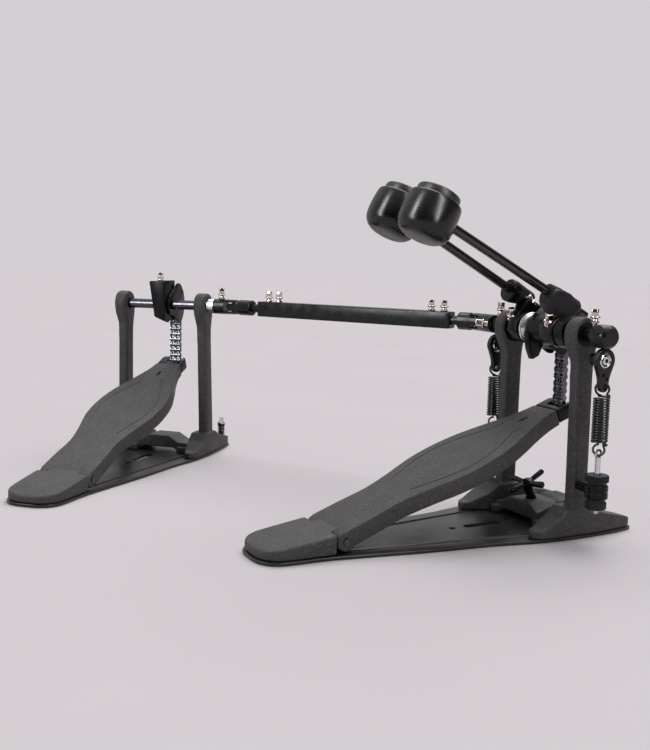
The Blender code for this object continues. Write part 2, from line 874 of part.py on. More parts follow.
def spring_seat(side, x, stub_end, pivot):
    """The block that tilts on the post, with its eye bolt, tension nut and the spring."""
    place = (x, 0, 0)
    block_body = turned(side + "_spring_block", BLOCK_PROFILE, pivot, "machined_black", 20, place)
    stub_start = x - math.copysign(0.0075, x)
    stub = bar(side + "_block_stub", (stub_start, 0, 0), (stub_end, 0, 0), 0.0036, pivot, sides=16)
    join(block_body, stub)
    turned(side + "_tension_nut", NUT_PROFILE, pivot, "machined_black", 20, place)
    low = (x, 0, -0.0190)
    high = (x, 0, 0.0295)
    eye_bolt = bar(side + "_eye_bolt", low, high, 0.0027, pivot, "chrome", sides=14)
    eye = ring_bar(side + "_bolt_eye", (x, 0, 0.0328), 0.0040, 0.0013, pivot)
    lock_nut = turned(side + "_lock_nut", LOCK_NUT_PROFILE, pivot, steps=18, place=place)
    join(eye_bolt, eye, lock_nut)
    spring = [(0, SPRING_HIGH), (SPRING_RADIUS, SPRING_HIGH), (SPRING_RADIUS, SPRING_LOW), (0, SPRING_LOW)]
    turned(side + "_spring", spring, pivot, "spring_black", 20, place)


# ---------- main pedal drive ----------


MAIN_SHAFT_PROFILE = [
    (0, 0.0772),
    (0.0050, 0.0772),
    (SHAFT_RADIUS, 0.0765),
    (SHAFT_RADIUS, 0.0455),
    (0.0142, 0.0455),
    (0.0142, 0.0283),
    (SHAFT_RADIUS, 0.0283),
    (SHAFT_RADIUS, -0.0169),
    (0, -0.0169),
]
LEFT_HUB_PROFILE = [
    (0.0128, -0.0079),
    (0.0140, -0.0089),
    (0.0140, -0.0176),
    (HUB_TUBE_RADIUS, -0.0182),
    (HUB_TUBE_RADIUS, -0.0312),
    (SHAFT_RADIUS, -0.0312),
    (SHAFT_RADIUS, -0.0795),
    (0, -0.0795),
    (0, -0.0189),
    (0.0060, -0.0189),
    (0.0060, -0.0079),
]


def main_shafts(axis):
    """The right shaft, whose left end turns inside the left hub, and the left hub itself."""
    turned("main_shaft", MAIN_SHAFT_PROFILE, axis, "machined_black", 18, turn=ALONG_X)
    turned("left_hub", LEFT_HUB_PROFILE, axis, "machined_black", 20, turn=ALONG_X)


BEARING_BORE = 0.0059
RIGHT_BEARING = [
    (BEARING_RADIUS, 0.0602),
    (BEARING_RADIUS, 0.0468),
    (BEARING_BORE, 0.0468),
    (BEARING_BORE, 0.0602),
]
LEFT_BEARING = [
    (0.0140, -0.0315),
    (0.0140, -0.0334),
    (BEARING_RADIUS, -0.0334),
    (BEARING_RADIUS, -0.0477),
    (BEARING_BORE, -0.0477),
    (BEARING_BORE, -0.0315),
]


def bearings(pedal):
    place = (0, 0, SHAFT_HEIGHT)
    turned("main_bearing_right", RIGHT_BEARING, pedal, "chrome", 20, place, ALONG_X)
    turned("main_bearing_left", LEFT_BEARING, pedal, "chrome", 20, place, ALONG_X)


DOME_PROFILE = [
    (0, 0.0954),
    (0.0040, 0.0950),
    (0.0072, 0.0932),
    (0.0094, 0.0898),
    (0.0102, 0.0860),
    (0.0102, 0.0770),
    (0, 0.0770),
]


def end_cap(axis):
    """A domed hexagonal cap on the shaft's end."""
    cap = bar("right_end_cap", (0.0779, 0, 0), (0.0954, 0, 0), 0.0104, axis, "beater_black", sides=6)
    dome = turned("cap_dome", DOME_PROFILE, axis, steps=30, turn=ALONG_X)
    return combine(cap, "INTERSECT", [dome])


def yoke(name, side_sign, collar_end, ears_across, parent, bore_from):
    """A yoke with a blind bore from its collar's outer end for the shaft it grips."""
    reach = side_sign * 0.0102
    body = bar(name, (reach, 0, 0), (collar_end, 0, 0), 0.0086, parent, "machined_black", sides=24)
    bevel(body, 0.0007, 1)
    ears = bar(name + "_ears", (reach * 1.15, 0, 0), (-side_sign * 0.0040, 0, 0), 0.0083, parent, sides=24)
    wide = 0.030
    ear = 0.0033
    room = 0.0051
    if ears_across == "Z":
        limit = block(name + "_limit", (-wide, -ear, -wide), (wide, ear, wide), parent)
        gap = block(name + "_room", (-abs(reach), -wide, -room), (abs(reach), wide, room), parent)
    else:
        limit = block(name + "_limit", (-wide, -wide, -ear), (wide, wide, ear), parent)
        gap = block(name + "_room", (-abs(reach), -room, -wide), (abs(reach), room, wide), parent)
    combine(ears, "INTERSECT", [limit])
    join(body, ears)
    cut(body, gap)
    if bore_from is not None:
        bore = bar(name + "_bore", (bore_from, 0, 0), (collar_end + side_sign * 0.01, 0, 0), 0.0058, parent)
        cut(body, bore)
    return body


def joint_cross(name, parent):
    """The spider between two yokes, as a ball with clearance to both."""
    shape = bmesh.new()
    bmesh.ops.create_uvsphere(shape, u_segments=12, v_segments=8, radius=0.0046)
    return from_bmesh(name, shape, parent, "chrome")


CLAMP_SLEEVE = [
    (0, 0.0305),
    (0.0052, 0.0300),
    (0.0060, 0.0280),
    (0.0050, 0.0250),
    (0.0050, 0.0170),
    (0.0044, 0.0160),
    (0, 0.0160),
]


def hoop_clamp(pedal):
    """The jaw that grips the drum's hoop and the winged bolt that closes it."""
    outline = [(0.0180, 0.0090), (0.0460, 0.0090), (0.0500, 0.0075), (0.0540, 0.0095), (0.0530, 0.0165)]
    outline += [(0.0440, 0.0205), (0.0260, 0.0210), (0.0180, 0.0175)]
    jaw = slab("hoop_clamp_jaw", outline, -0.0165, 0.0165, pedal, "gloss_black", across="X")
    bevel(jaw, 0.0014, 1)
    lean = math.radians(21)
    base = empty("clamp_bolt_axis", pedal, (0, 0.0050, 0.0105), (lean, 0, 0))
    bolt = bar("hoop_clamp_bolt", (0, 0, 0), (0, 0, 0.0300), 0.0030, base, "gloss_black", sides=14)
    sleeve = turned("clamp_sleeve", CLAMP_SLEEVE, base, steps=18)
    join(bolt, sleeve)
    for i in range(4):
        angle = math.radians(45 + 90 * i)
        reach = Vector((math.cos(angle), math.sin(angle), 0)) * 0.021
        inner = (reach.x * 0.1, reach.y * 0.1, 0.0265)
        outer = (reach.x, reach.y, 0.0300)
        wing = bar("clamp_wing", inner, outer, 0.0024, base, end_radius=0.0034, sides=10)
        bevel(wing, 0.0009, 1)
        join(bolt, wing)
    bolt_hole = bar("clamp_bolt_hole", (0, 0, -0.01), (0, 0, 0.03), 0.0034, base)
    cut(bpy.data.objects["main_crossbar"], bolt_hole)


# ---------- link and slave drive ----------


def drive_link(link):
    """Main-side rod and sleeve, and the slave-side rod that slides in the sleeve."""
    rod_radius = 0.0046
    far_end = empty("slave_joint_centre", link, (LINK_LENGTH, 0, 0))
    main_rod = yoke("link_main_rod", 1, 0.0258, "Y", link, None)
    join(main_rod, bar("main_rod_run", (0.0200, 0, 0), (0.1300, 0, 0), rod_radius, link, sides=16))
    slave_rod = yoke("link_slave_rod", -1, -0.0270, "Y", far_end, None)
    join(slave_rod, bar("slave_rod_run", (-0.0200, 0, 0), (-0.1600, 0, 0), rod_radius, far_end, sides=16))
    half_y = 0.0072
    half_z = 0.0083
    chamfer = 0.0024
    outline = [(half_y - chamfer, -half_z), (half_y, -half_z + chamfer), (half_y, half_z - chamfer)]
    outline += [(half_y - chamfer, half_z)]
    outline = outline + [(-y, z) for y, z in reversed(outline)]
    sleeve = slab("link_sleeve", outline, 0.0294, 0.2624, link, "machined_black", across="X")
    bevel(sleeve, 0.0005, 1)
    cut(sleeve, bar("sleeve_bore", (0.02, 0, 0), (0.28, 0, 0), rod_radius + 0.0004, link, sides=20))
    joint_cross("main_uj_cross", link)
    joint_cross("slave_uj_cross", far_end)


SLAVE_SHAFT_PROFILE = [
    (0, 0.0765),
    (0.0050, 0.0765),
    (SHAFT_RADIUS, 0.0760),
    (SHAFT_RADIUS, -0.0595),
    (0.0050, -0.0600),
    (0, -0.0600),
]


def slave_drive(axis):
    turned("slave_shaft", SLAVE_SHAFT_PROFILE, axis, "chrome", 18, turn=ALONG_X)
    collar = [(0.0085, 0.0652), (0.0085, 0.0580), (0.0058, 0.0580), (0.0058, 0.0652)]
    turned("slave_collar", collar, axis, "aluminium", 18, turn=ALONG_X)
    joint = empty("slave_yoke_centre", axis, (SLAVE_JOINT_X, 0, 0))
    yoke("slave_uj_yoke", -1, 0.0656 - SLAVE_JOINT_X, "Z", joint, -0.0115)


def spur(hand, sign, pedal):
    """A sharp anchor bolt through the slave pedal's foot."""
    x = sign * 0.0490
    y = 0.0575
    bolt = bar(f"slave_spur_{hand}", (x, y, 0.0045), (x, y, 0.0310), 0.0024, pedal, "chrome", sides=14)
    tip = bar("spur_tip", (x, y, 0.0050), (x, y, 0.0030), 0.0024, pedal, end_radius=0.0006, sides=14)
    head = bar("spur_head", (x, y, 0.0290), (x, y, 0.0350), 0.0032, pedal, sides=4)
    flange = bar("spur_flange", (x, y, 0.0275), (x, y, 0.0292), 0.0048, pedal, sides=16)
    join(bolt, tip, flange, head)
    hole = bar("spur_hole", (x, y, -0.01), (x, y, 0.03), 0.0027, pedal, sides=16)
    cut(bpy.data.objects[f"slave_post_{hand}"], hole)


# ---------- assembly ----------


def pedal_frame(side, pedal, bore):
    base_plate(side, pedal)
    heel_plate(side, pedal)
    hinge_pin(side, pedal)
    post(side, "right", bore, pedal)
    post(side, "left", bore, pedal)
    crossbar(side, pedal)


def pedal_drive(side, pedal, look, with_block):
    hinge = empty(side + "_board_hinge", pedal, (0, HINGE_Y, HINGE_Z), (BOARD_ANGLE, 0, 0))
    footboard(side, hinge)
    toe_bracket(side, hinge)
    axis = empty(side + "_shaft_axis", pedal, (0, 0, SHAFT_HEIGHT))
    cam(side, axis, look, with_block)
    pin = (0, CAM_PIN_RADIUS * math.cos(CAM_PIN_ANGLE), CAM_PIN_RADIUS * math.sin(CAM_PIN_ANGLE))
    chain(side, empty(side + "_chain_pivot", axis, pin))
    return axis


def build_main():
    pedal = empty("main_pedal")
    pedal_frame("main", pedal, BEARING_RADIUS + GAP)
    bearings(pedal)
    axis = pedal_drive("main", pedal, "machined_black", False)
    main_shafts(axis)
    end_cap(axis)
    right_crank(axis)
    left_crank(axis)
    beater_holder("right", axis, RIGHT_BEATER_X, RIGHT_BEATER_LEAN, 0.0142, 0.0278, True)
    beater_holder("left", axis, LEFT_BEATER_X, LEFT_BEATER_LEAN, -0.0309, -0.0186, False)
    beater("right", axis, RIGHT_BEATER_X, RIGHT_BEATER_LEAN)
    beater("left", axis, LEFT_BEATER_X, LEFT_BEATER_LEAN)
    for side, x, stub_end in (("right", RIGHT_SPRING_X, 0.0602), ("left", LEFT_SPRING_X, -0.0494)):
        swivel_link(side, x, empty(side + "_link_pivot", axis, (0, 0, -CRANK_DROP)))
        spring_seat(side, x, stub_end, empty(side + "_seat_pivot", pedal, (0, 0, SEAT_HEIGHT)))
    hoop_clamp(pedal)
    joint = empty("main_joint_centre", axis, (MAIN_JOINT_X, 0, 0))
    yoke("main_uj_yoke", 1, 0.0284, "Z", joint, 0.0122)
    return joint


def build_link_and_slave(joint):
    drive_link(empty("link_axis", joint, (0, 0, 0), (0, 0, math.pi + LINK_TURN)))
    link_run = Vector((-math.cos(LINK_TURN), -math.sin(LINK_TURN), 0)) * LINK_LENGTH
    to_joint = Vector((math.cos(SLAVE_TURN), math.sin(SLAVE_TURN), 0)) * SLAVE_JOINT_X
    place = Vector((MAIN_JOINT_X, 0, 0)) + link_run - to_joint
    pedal = empty("slave_pedal", None, place, (0, 0, SLAVE_TURN))
    pedal_frame("slave", pedal, SHAFT_RADIUS + GAP)
    axis = pedal_drive("slave", pedal, "machined_black", True)
    slave_drive(axis)
    spur("right", 1, pedal)
    spur("left", -1, pedal)


clear_scene()
parts = new_collection(PEDAL)
helpers = new_collection(PEDAL + "_cutters")
looks = {name: make_look(name) for name in LOOKS}
build_link_and_slave(build_main())
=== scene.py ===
"""Looks of the double bass drum pedal: castings, painted sheet, coils, roller chains and key bolts."""

import json
import math

import bmesh
import bpy
from mathutils import Matrix, Vector


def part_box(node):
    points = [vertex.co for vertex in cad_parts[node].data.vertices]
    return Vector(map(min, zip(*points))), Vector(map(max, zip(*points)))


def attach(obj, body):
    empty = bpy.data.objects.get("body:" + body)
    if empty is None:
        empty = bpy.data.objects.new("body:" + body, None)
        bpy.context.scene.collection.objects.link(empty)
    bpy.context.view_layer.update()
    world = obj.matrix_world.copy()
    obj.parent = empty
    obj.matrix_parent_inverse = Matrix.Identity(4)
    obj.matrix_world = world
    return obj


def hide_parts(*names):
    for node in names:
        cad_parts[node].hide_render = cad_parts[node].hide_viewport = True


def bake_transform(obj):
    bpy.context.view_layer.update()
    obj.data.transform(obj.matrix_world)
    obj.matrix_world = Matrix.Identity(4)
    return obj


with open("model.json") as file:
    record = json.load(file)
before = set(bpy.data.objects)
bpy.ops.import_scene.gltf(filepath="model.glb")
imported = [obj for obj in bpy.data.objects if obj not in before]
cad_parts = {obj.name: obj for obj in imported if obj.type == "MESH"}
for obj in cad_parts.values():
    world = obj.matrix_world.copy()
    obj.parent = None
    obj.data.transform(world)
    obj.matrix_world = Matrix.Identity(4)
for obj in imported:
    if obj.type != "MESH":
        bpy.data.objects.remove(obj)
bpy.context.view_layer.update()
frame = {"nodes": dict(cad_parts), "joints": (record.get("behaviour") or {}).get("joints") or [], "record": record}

JOINTS = {joint["name"]: joint for joint in frame["joints"]}
MOUNTS = {mount["name"]: mount for mount in frame["record"]["mounts"]}


def pivot(joint):
    return Vector(JOINTS[joint]["pos_m"])


def turned_to(axis):
    """Rotation about Z that takes +X to a level axis."""
    return Matrix.Rotation(math.atan2(axis[1], axis[0]), 4, "Z")


SHAFT_HEIGHT = pivot("right_beater_swing").z
MAIN = Matrix.Identity(4)
SLAVE_TURN = turned_to(JOINTS["slave_chain_swing"]["axis"])
SLAVE = Matrix.Translation(MOUNTS["slave_floor_face"]["pos_m"]) @ SLAVE_TURN
LINK = Matrix.Translation(pivot("link_spin")) @ turned_to(JOINTS["link_spin"]["axis"])
PEDALS = {"main": MAIN, "slave": SLAVE}
TO_X = Matrix.Rotation(math.radians(90), 4, "Y")
YZ_TO_X = Matrix(((0, 0, 1, 0), (1, 0, 0, 0), (0, 1, 0, 0), (0, 0, 0, 1)))
XZ_TO_Y = Matrix.Rotation(math.radians(90), 4, "X")
SHAFT = Matrix.Translation((0, 0, SHAFT_HEIGHT))
HINGE = pivot("main_board_tilt")
BOARD_ANGLE = math.radians(20.95)
BOARD = Matrix.Translation((0, HINGE.y, HINGE.z)) @ Matrix.Rotation(BOARD_ANGLE, 4, "X")
BOARD_TOP = 0.0083
BOARD_DEPTH = 0.0145
BOARD_WALL = 0.0042
BOARD_SKIN = 0.0048
SHARP = math.radians(35)
SHAFT_RADIUS = 0.0055
CLEARANCE = 0.0003
ROD_BORE = 0.0043


# ---------- materials ----------


def new_look(name):
    """A material with only a Principled shader, ready for its textures."""
    look = bpy.data.materials.new(name)
    look.use_nodes = True
    tree = look.node_tree
    tree.nodes.clear()
    output = tree.nodes.new("ShaderNodeOutputMaterial")
    shader = tree.nodes.new("ShaderNodeBsdfPrincipled")
    tree.links.new(shader.outputs["BSDF"], output.inputs["Surface"])
    place = tree.nodes.new("ShaderNodeTexCoord")
    return look, tree, shader, place.outputs["Object"]


def noise(tree, place, scale, detail=2.0, stretch=None):
    """Noise of a given number of waves per metre; stretch scales each axis."""
    if stretch:
        mapping = tree.nodes.new("ShaderNodeMapping")
        mapping.inputs["Scale"].default_value = stretch
        tree.links.new(place, mapping.inputs["Vector"])
        place = mapping.outputs["Vector"]
    made = tree.nodes.new("ShaderNodeTexNoise")
    made.inputs["Scale"].default_value = scale
    made.inputs["Detail"].default_value = detail
    tree.links.new(place, made.inputs["Vector"])
    return made.outputs["Fac"]


def spread(tree, value, low, high, start=0.3, end=0.7):
    """The value between start and end, mapped to low and high."""
    made = tree.nodes.new("ShaderNodeMapRange")
    made.inputs["From Min"].default_value = start
    made.inputs["From Max"].default_value = end
    made.inputs["To Min"].default_value = low
    made.inputs["To Max"].default_value = high
    tree.links.new(value, made.inputs["Value"])
    return made.outputs["Result"]


def mix_colour(tree, amount, first, second):
    made = tree.nodes.new("ShaderNodeMix")
    made.data_type = "RGBA"
    tree.links.new(amount, made.inputs["Factor"])
    for socket, colour in ((made.inputs[6], first), (made.inputs[7], second)):
        if isinstance(colour, tuple):
            socket.default_value = (*colour, 1)
        else:
            tree.links.new(colour, socket)
    return made.outputs[2]


def bumped(tree, shader, height, depth):
    made = tree.nodes.new("ShaderNodeBump")
    made.inputs["Strength"].default_value = 1
    made.inputs["Distance"].default_value = depth
    tree.links.new(height, made.inputs["Height"])
    tree.links.new(made.outputs["Normal"], shader.inputs["Normal"])


def worn_edges(tree):
    """How far a point lies on an outer edge, from 0 to 1."""
    made = tree.nodes.new("ShaderNodeNewGeometry")
    return spread(tree, made.outputs["Pointiness"], 0, 1, 0.54, 0.62)


def dress(tree, shader, colour, haze, low, high):
    """Connects a colour, and a roughness that the haze moves between low and high."""
    tree.links.new(colour, shader.inputs["Base Color"])
    tree.links.new(spread(tree, haze, low, high), shader.inputs["Roughness"])


def powder_coat():
    """Sandy charcoal powder coat on cast parts."""
    look, tree, shader, place = new_look("sandy_powder_coat")
    grain = noise(tree, place, 900, 3)
    patches = noise(tree, place, 55, 4)
    speck = noise(tree, place, 430, 1)
    dark, light = (0.026, 0.025, 0.027), (0.1, 0.098, 0.101)
    colour = mix_colour(tree, spread(tree, grain, 0, 1, 0.32, 0.68), dark, light)
    colour = mix_colour(tree, spread(tree, patches, 0, 0.35), colour, (0.078, 0.076, 0.078))
    colour = mix_colour(tree, spread(tree, speck, 0, 0.6, 0.58, 0.72), colour, (0.14, 0.137, 0.137))
    colour = mix_colour(tree, spread(tree, worn_edges(tree), 0, 0.4, 0, 1), colour, (0.13, 0.13, 0.135))
    dress(tree, shader, colour, patches, 0.5, 0.68)
    shader.inputs["Specular IOR Level"].default_value = 0.38
    bumped(tree, shader, grain, 0.00034)
    return look


def painted_sheet():
    """Satin black paint on the pressed base plates."""
    look, tree, shader, place = new_look("satin_painted_sheet")
    haze = noise(tree, place, 30, 5)
    drag = noise(tree, place, 260, 3, (1.0, 0.06, 1.0))
    colour = mix_colour(tree, spread(tree, haze, 0, 1), (0.026, 0.024, 0.026), (0.05, 0.046, 0.048))
    colour = mix_colour(tree, spread(tree, drag, 0, 0.25, 0.55, 0.75), colour, (0.11, 0.105, 0.11))
    dress(tree, shader, colour, haze, 0.26, 0.42)
    shader.inputs["Metallic"].default_value = 0.25
    bumped(tree, shader, noise(tree, place, 900, 2), 0.00002)
    return look


def satin_black(name, colour, roughness, depth, gloss):
    """Anodised, moulded or painted black parts, with faint handling marks; the colour given for the machined parts
    is also darkened as painted shade.
    """
    look, tree, shader, place = new_look(name)
    haze = noise(tree, place, 90, 4)
    mark = noise(tree, place, 700, 2, (1, 1, 0.15))
    light = tuple(c * 1.8 + 0.003 for c in colour)
    shade = mix_colour(tree, spread(tree, haze, 0, 0.7), colour, light)
    shade = mix_colour(tree, spread(tree, mark, 0, 0.25, 0.58, 0.75), shade, tuple(c + 0.03 for c in light))
    dress(tree, shader, shade, haze, roughness * 0.75, roughness * 1.3)
    shader.inputs["Specular IOR Level"].default_value = gloss
    bumped(tree, shader, noise(tree, place, 1300, 2), depth)
    return look


def gloss_black():
    """Black plated beater rods."""
    look, tree, shader, place = new_look("black_gloss_plate")
    haze = noise(tree, place, 120, 4)
    colour = mix_colour(tree, spread(tree, haze, 0, 1), (0.004, 0.004, 0.005), (0.012, 0.011, 0.013))
    dress(tree, shader, colour, haze, 0.15, 0.26)
    shader.inputs["Coat Weight"].default_value = 0.6
    shader.inputs["Coat Roughness"].default_value = 0.1
    bumped(tree, shader, noise(tree, place, 420, 2), 0.00003)
    return look


def plated(name, colour, roughness, streak=None, depth=0.00001):
    """Bright metal with uneven polish, and turning marks where streak is given."""
    look, tree, shader, place = new_look(name)
    haze = noise(tree, place, 160, 4)
    fine = noise(tree, place, 1800, 2, streak)
    darker = tuple(c * 0.62 for c in colour)
    shade = mix_colour(tree, spread(tree, haze, 0, 0.8), colour, darker)
    shade = mix_colour(tree, spread(tree, fine, 0, 0.4, 0.55, 0.8), shade, tuple(c * 0.5 for c in colour))
    dress(tree, shader, shade, haze, roughness * 0.7, roughness * 1.5)
    shader.inputs["Metallic"].default_value = 1.0
    bumped(tree, shader, fine, depth)
    return look


def felt_face():
    """Dense dark grey pad on the struck side of each beater."""
    look, tree, shader, place = new_look("beater_pad")
    fibre = noise(tree, place, 1600, 4)
    haze = noise(tree, place, 80, 3)
    colour = mix_colour(tree, spread(tree, fibre, 0, 1), (0.02, 0.02, 0.022), (0.05, 0.05, 0.055))
    colour = mix_colour(tree, spread(tree, haze, 0, 0.3), colour, (0.07, 0.07, 0.075))
    dress(tree, shader, colour, fibre, 0.3, 0.46)
    bumped(tree, shader, fibre, 0.00006)
    return look


def pale_floor():
    look, tree, shader, place = new_look("pale_floor")
    haze = noise(tree, place, 3, 4)
    colour = mix_colour(tree, spread(tree, haze, 0, 1), (0.775, 0.745, 0.765), (0.8, 0.77, 0.79))
    tree.links.new(colour, shader.inputs["Base Color"])
    shader.inputs["Roughness"].default_value = 0.95
    shader.inputs["Specular IOR Level"].default_value = 0.1
    return look


LOOKS = {
    "cast": powder_coat(),
    "sheet": painted_sheet(),
    # Machined parts: the near-black colour is partly their own black and partly painted shade, darkened so the hub
    # and cam read as in shadow.
    "machined": satin_black("satin_black_metal_and_painted_shade", (0.003, 0.003, 0.0036), 0.27, 0.00002, 0.2),
    "moulded": satin_black("moulded_black", (0.016, 0.016, 0.019), 0.42, 0.00006, 0.22),
    "barrel": satin_black("beater_barrel", (0.0035, 0.0035, 0.0042), 0.25, 0.00002, 0.42),
    "anodised": satin_black("anodised_sleeve", (0.008, 0.008, 0.0095), 0.26, 0.00002, 0.3),
    "gloss": gloss_black(),
    "face": felt_face(),
    "chrome": plated("chrome_plate", (0.72, 0.71, 0.73), 0.12),
    "warm": plated("warm_chrome_plate", (0.7, 0.62, 0.57), 0.1),
    "shaft": plated("dark_chrome_plate", (0.1, 0.1, 0.115), 0.16),
    "wing": plated("black_chrome_plate", (0.045, 0.045, 0.052), 0.1),
    "aluminium": plated("turned_aluminium", (0.84, 0.84, 0.86), 0.24, (1, 0.05, 0.05), 0.00003),
    "chain": plated("black_chain_steel", (0.16, 0.16, 0.175), 0.22),
    "spring": satin_black("black_spring_wire", (0.004, 0.004, 0.005), 0.16, 0.00001, 0.55),
}


# ---------- mesh building ----------


def lathe(mesh, profile, place=Matrix.Identity(4), steps=48, loop=False):
    """Adds a profile of (radius, height) pairs swept round the local Z of place."""
    rings = []
    for radius, height in profile:
        if radius <= 0:
            rings.append([mesh.verts.new(place @ Vector((0, 0, height)))])
            continue
        ring = []
        for i in range(steps):
            angle = 2 * math.pi * i / steps
            point = Vector((radius * math.cos(angle), radius * math.sin(angle), height))
            ring.append(mesh.verts.new(place @ point))
        rings.append(ring)
    pairs = list(zip(rings, rings[1:]))
    if loop:
        pairs.append((rings[-1], rings[0]))
    for first, second in pairs:
        for i in range(steps):
            j = (i + 1) % steps
            if len(first) == 1 and len(second) > 1:
                mesh.faces.new((first[0], second[i], second[j]))
            elif len(second) == 1 and len(first) > 1:
                mesh.faces.new((first[i], second[0], first[j]))
            elif len(first) > 1:
                mesh.faces.new((first[i], second[i], second[j], first[j]))
    if not loop:
        for ring in (rings[0], rings[-1]):
            if len(ring) > 1:
                mesh.faces.new(ring)


def prism(mesh, outline, low, high, place=Matrix.Identity(4), top=None):
    """Adds an outline raised along local Z from low to high, or to top(x, y)."""
    lower = [mesh.verts.new(place @ Vector((x, y, low))) for x, y in outline]
    upper = [mesh.verts.new(place @ Vector((x, y, top(x, y) if top else high))) for x, y in outline]
    mesh.faces.new(lower[::-1])
    mesh.faces.new(upper)
    for i in range(len(outline)):
        j = (i + 1) % len(outline)
        mesh.faces.new((lower[i], lower[j], upper[j], upper[i]))


def box(mesh, low, high, place=Matrix.Identity(4)):
    outline = [(low[0], low[1]), (high[0], low[1]), (high[0], high[1]), (low[0], high[1])]
    prism(mesh, outline, low[2], high[2], place)


def rod(mesh, start, end, radius, place=Matrix.Identity(4), end_radius=None, sides=32, edge=0):
    """Adds a cylinder or cone between two points, with its end edges taken off by edge."""
    start = Vector(start)
    run = Vector(end) - start
    far = radius if end_radius is None else end_radius
    turn = Matrix.Translation(start) @ run.to_track_quat("Z", "Y").to_matrix().to_4x4()
    profile = [(radius, 0), (far, run.length)]
    if edge:
        profile = [(radius - edge, 0), (radius, edge), (far, run.length - edge), (far - edge, run.length)]
    lathe(mesh, profile, place @ turn, sides)


def wire(mesh, points, radius, place=Matrix.Identity(4), sides=10, ring=False):
    """Adds a round wire along points, with a frame carried from point to point."""
    points = [Vector(point) for point in points]
    count = len(points)
    loops = []
    side = None
    for i, point in enumerate(points):
        before = points[i - 1] if ring or i else point
        after = points[(i + 1) % count] if ring or i < count - 1 else point
        along = (after - before).normalized()
        if side is None:
            side = along.orthogonal().normalized()
        side = (side - along * side.dot(along)).normalized()
        other = along.cross(side)
        loop = []
        for k in range(sides):
            angle = 2 * math.pi * k / sides
            offset = side * math.cos(angle) + other * math.sin(angle)
            loop.append(mesh.verts.new(place @ (point + offset * radius)))
        loops.append(loop)
    joined = list(zip(loops, loops[1:]))
    if ring:
        joined.append((loops[-1], loops[0]))
    for first, second in joined:
        for k in range(sides):
            m = (k + 1) % sides
            mesh.faces.new((first[k], first[m], second[m], second[k]))
    if not ring:
        mesh.faces.new(loops[0][::-1])
        mesh.faces.new(loops[-1])


def arc(centre, radius, first, last, count):
    """Points of an arc in degrees, as (a, b) pairs."""
    points = []
    for i in range(count):
        angle = math.radians(first + (last - first) * i / (count - 1))
        points.append((centre[0] + radius * math.cos(angle), centre[1] + radius * math.sin(angle)))
    return points


def curved(points, steps):
    """A Catmull-Rom curve through points."""
    fine = []
    for i in range(len(points) - 1):
        start = Vector(points[i])
        end = Vector(points[i + 1])
        before = start if i == 0 else Vector(points[i - 1])
        after = end if i + 2 == len(points) else Vector(points[i + 2])
        for step in range(steps):
            t = step / steps
            bend = (2 * before - 5 * start + 4 * end - after) * t * t
            cubic = (3 * start - before - 3 * end + after) * t**3
            fine.append(tuple(0.5 * (2 * start + (end - before) * t + bend + cubic)))
    fine.append(tuple(points[-1]))
    return fine


def both_sides(half):
    """A closed outline from its right half, run from the rear to the front."""
    return half + [(-x, y) for x, y in reversed(half) if x > 0.00001]


def to_object(name, mesh):
    bmesh.ops.recalc_face_normals(mesh, faces=mesh.faces)
    data = bpy.data.meshes.new(name)
    mesh.to_mesh(data)
    mesh.free()
    made = bpy.data.objects.new(name, data)
    bpy.context.scene.collection.objects.link(made)
    return made


def solid(name, build, *shape, **options):
    """One object from one builder: lathe, prism, box, rod, wire or loft."""
    mesh = bmesh.new()
    build(mesh, *shape, **options)
    return to_object(name, mesh)


def applied(target):
    """Bakes the object's modifiers into its mesh."""
    graph = bpy.context.evaluated_depsgraph_get()
    data = bpy.data.meshes.new_from_object(target.evaluated_get(graph))
    target.modifiers.clear()
    target.data = data
    return target


def carve(target, others, operation="DIFFERENCE"):
    """Joins, cuts or intersects the target with helper objects, and removes them."""
    for other in others:
        made = target.modifiers.new(other.name, "BOOLEAN")
        made.operation = operation
        made.solver = "EXACT"
        made.object = other
    applied(target)
    for other in others:
        bpy.data.objects.remove(other)
    return target


def round_edges(target, width, segments=3, angle=38):
    made = target.modifiers.new("rounded_edges", "BEVEL")
    made.width = width
    made.segments = segments
    made.limit_method = "ANGLE"
    made.angle_limit = math.radians(angle)
    return applied(target)


def as_casting(target, voxel, passes):
    """Turns overlapping solids into one casting with soft inner and outer corners."""
    remesh = target.modifiers.new("one_skin", "REMESH")
    remesh.mode = "VOXEL"
    remesh.voxel_size = voxel
    smooth = target.modifiers.new("soft_corners", "SMOOTH")
    smooth.factor = 0.5
    smooth.iterations = passes
    return applied(target)


def finish_piece(piece, look, body, replaces=(), sharp=SHARP):
    """Gives a piece its shading and material, and puts it on its body."""
    piece.data.materials.clear()
    piece.data.materials.append(LOOKS[look])
    piece.data.shade_smooth()
    piece.data.set_sharp_from_angle(angle=sharp)
    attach(piece, body)
    if replaces:
        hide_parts(*replaces)
    return piece


# ---------- stage, light and camera ----------

FLOOR_RADIUS = 14
FLOOR_TOP = -0.0004
FLOOR_BOTTOM = -0.02


def stage():
    """The plain pale floor."""
    rim = [(FLOOR_RADIUS, FLOOR_TOP), (FLOOR_RADIUS, FLOOR_BOTTOM)]
    floor = solid("floor", lathe, [(0, FLOOR_TOP), *rim, (0, FLOOR_BOTTOM)], steps=64)
    floor.data.materials.append(pale_floor())


STRIP_AIM = Vector((0, -0.12, 0.26))
STRIP_WIDTH = 0.3
STRIP_LENGTH = 1.2


def strip_light(name, place, power, colour):
    """A tall soft strip that only glossy surfaces show."""
    data = bpy.data.lights.new(name, "AREA")
    data.shape = "RECTANGLE"
    data.size = STRIP_WIDTH
    data.size_y = STRIP_LENGTH
    data.energy = power
    data.color = colour
    made = bpy.data.objects.new(name, data)
    bpy.context.scene.collection.objects.link(made)
    made.visible_diffuse = False
    made.location = place
    made.rotation_euler = (STRIP_AIM - Vector(place)).to_track_quat("-Z", "Y").to_euler()


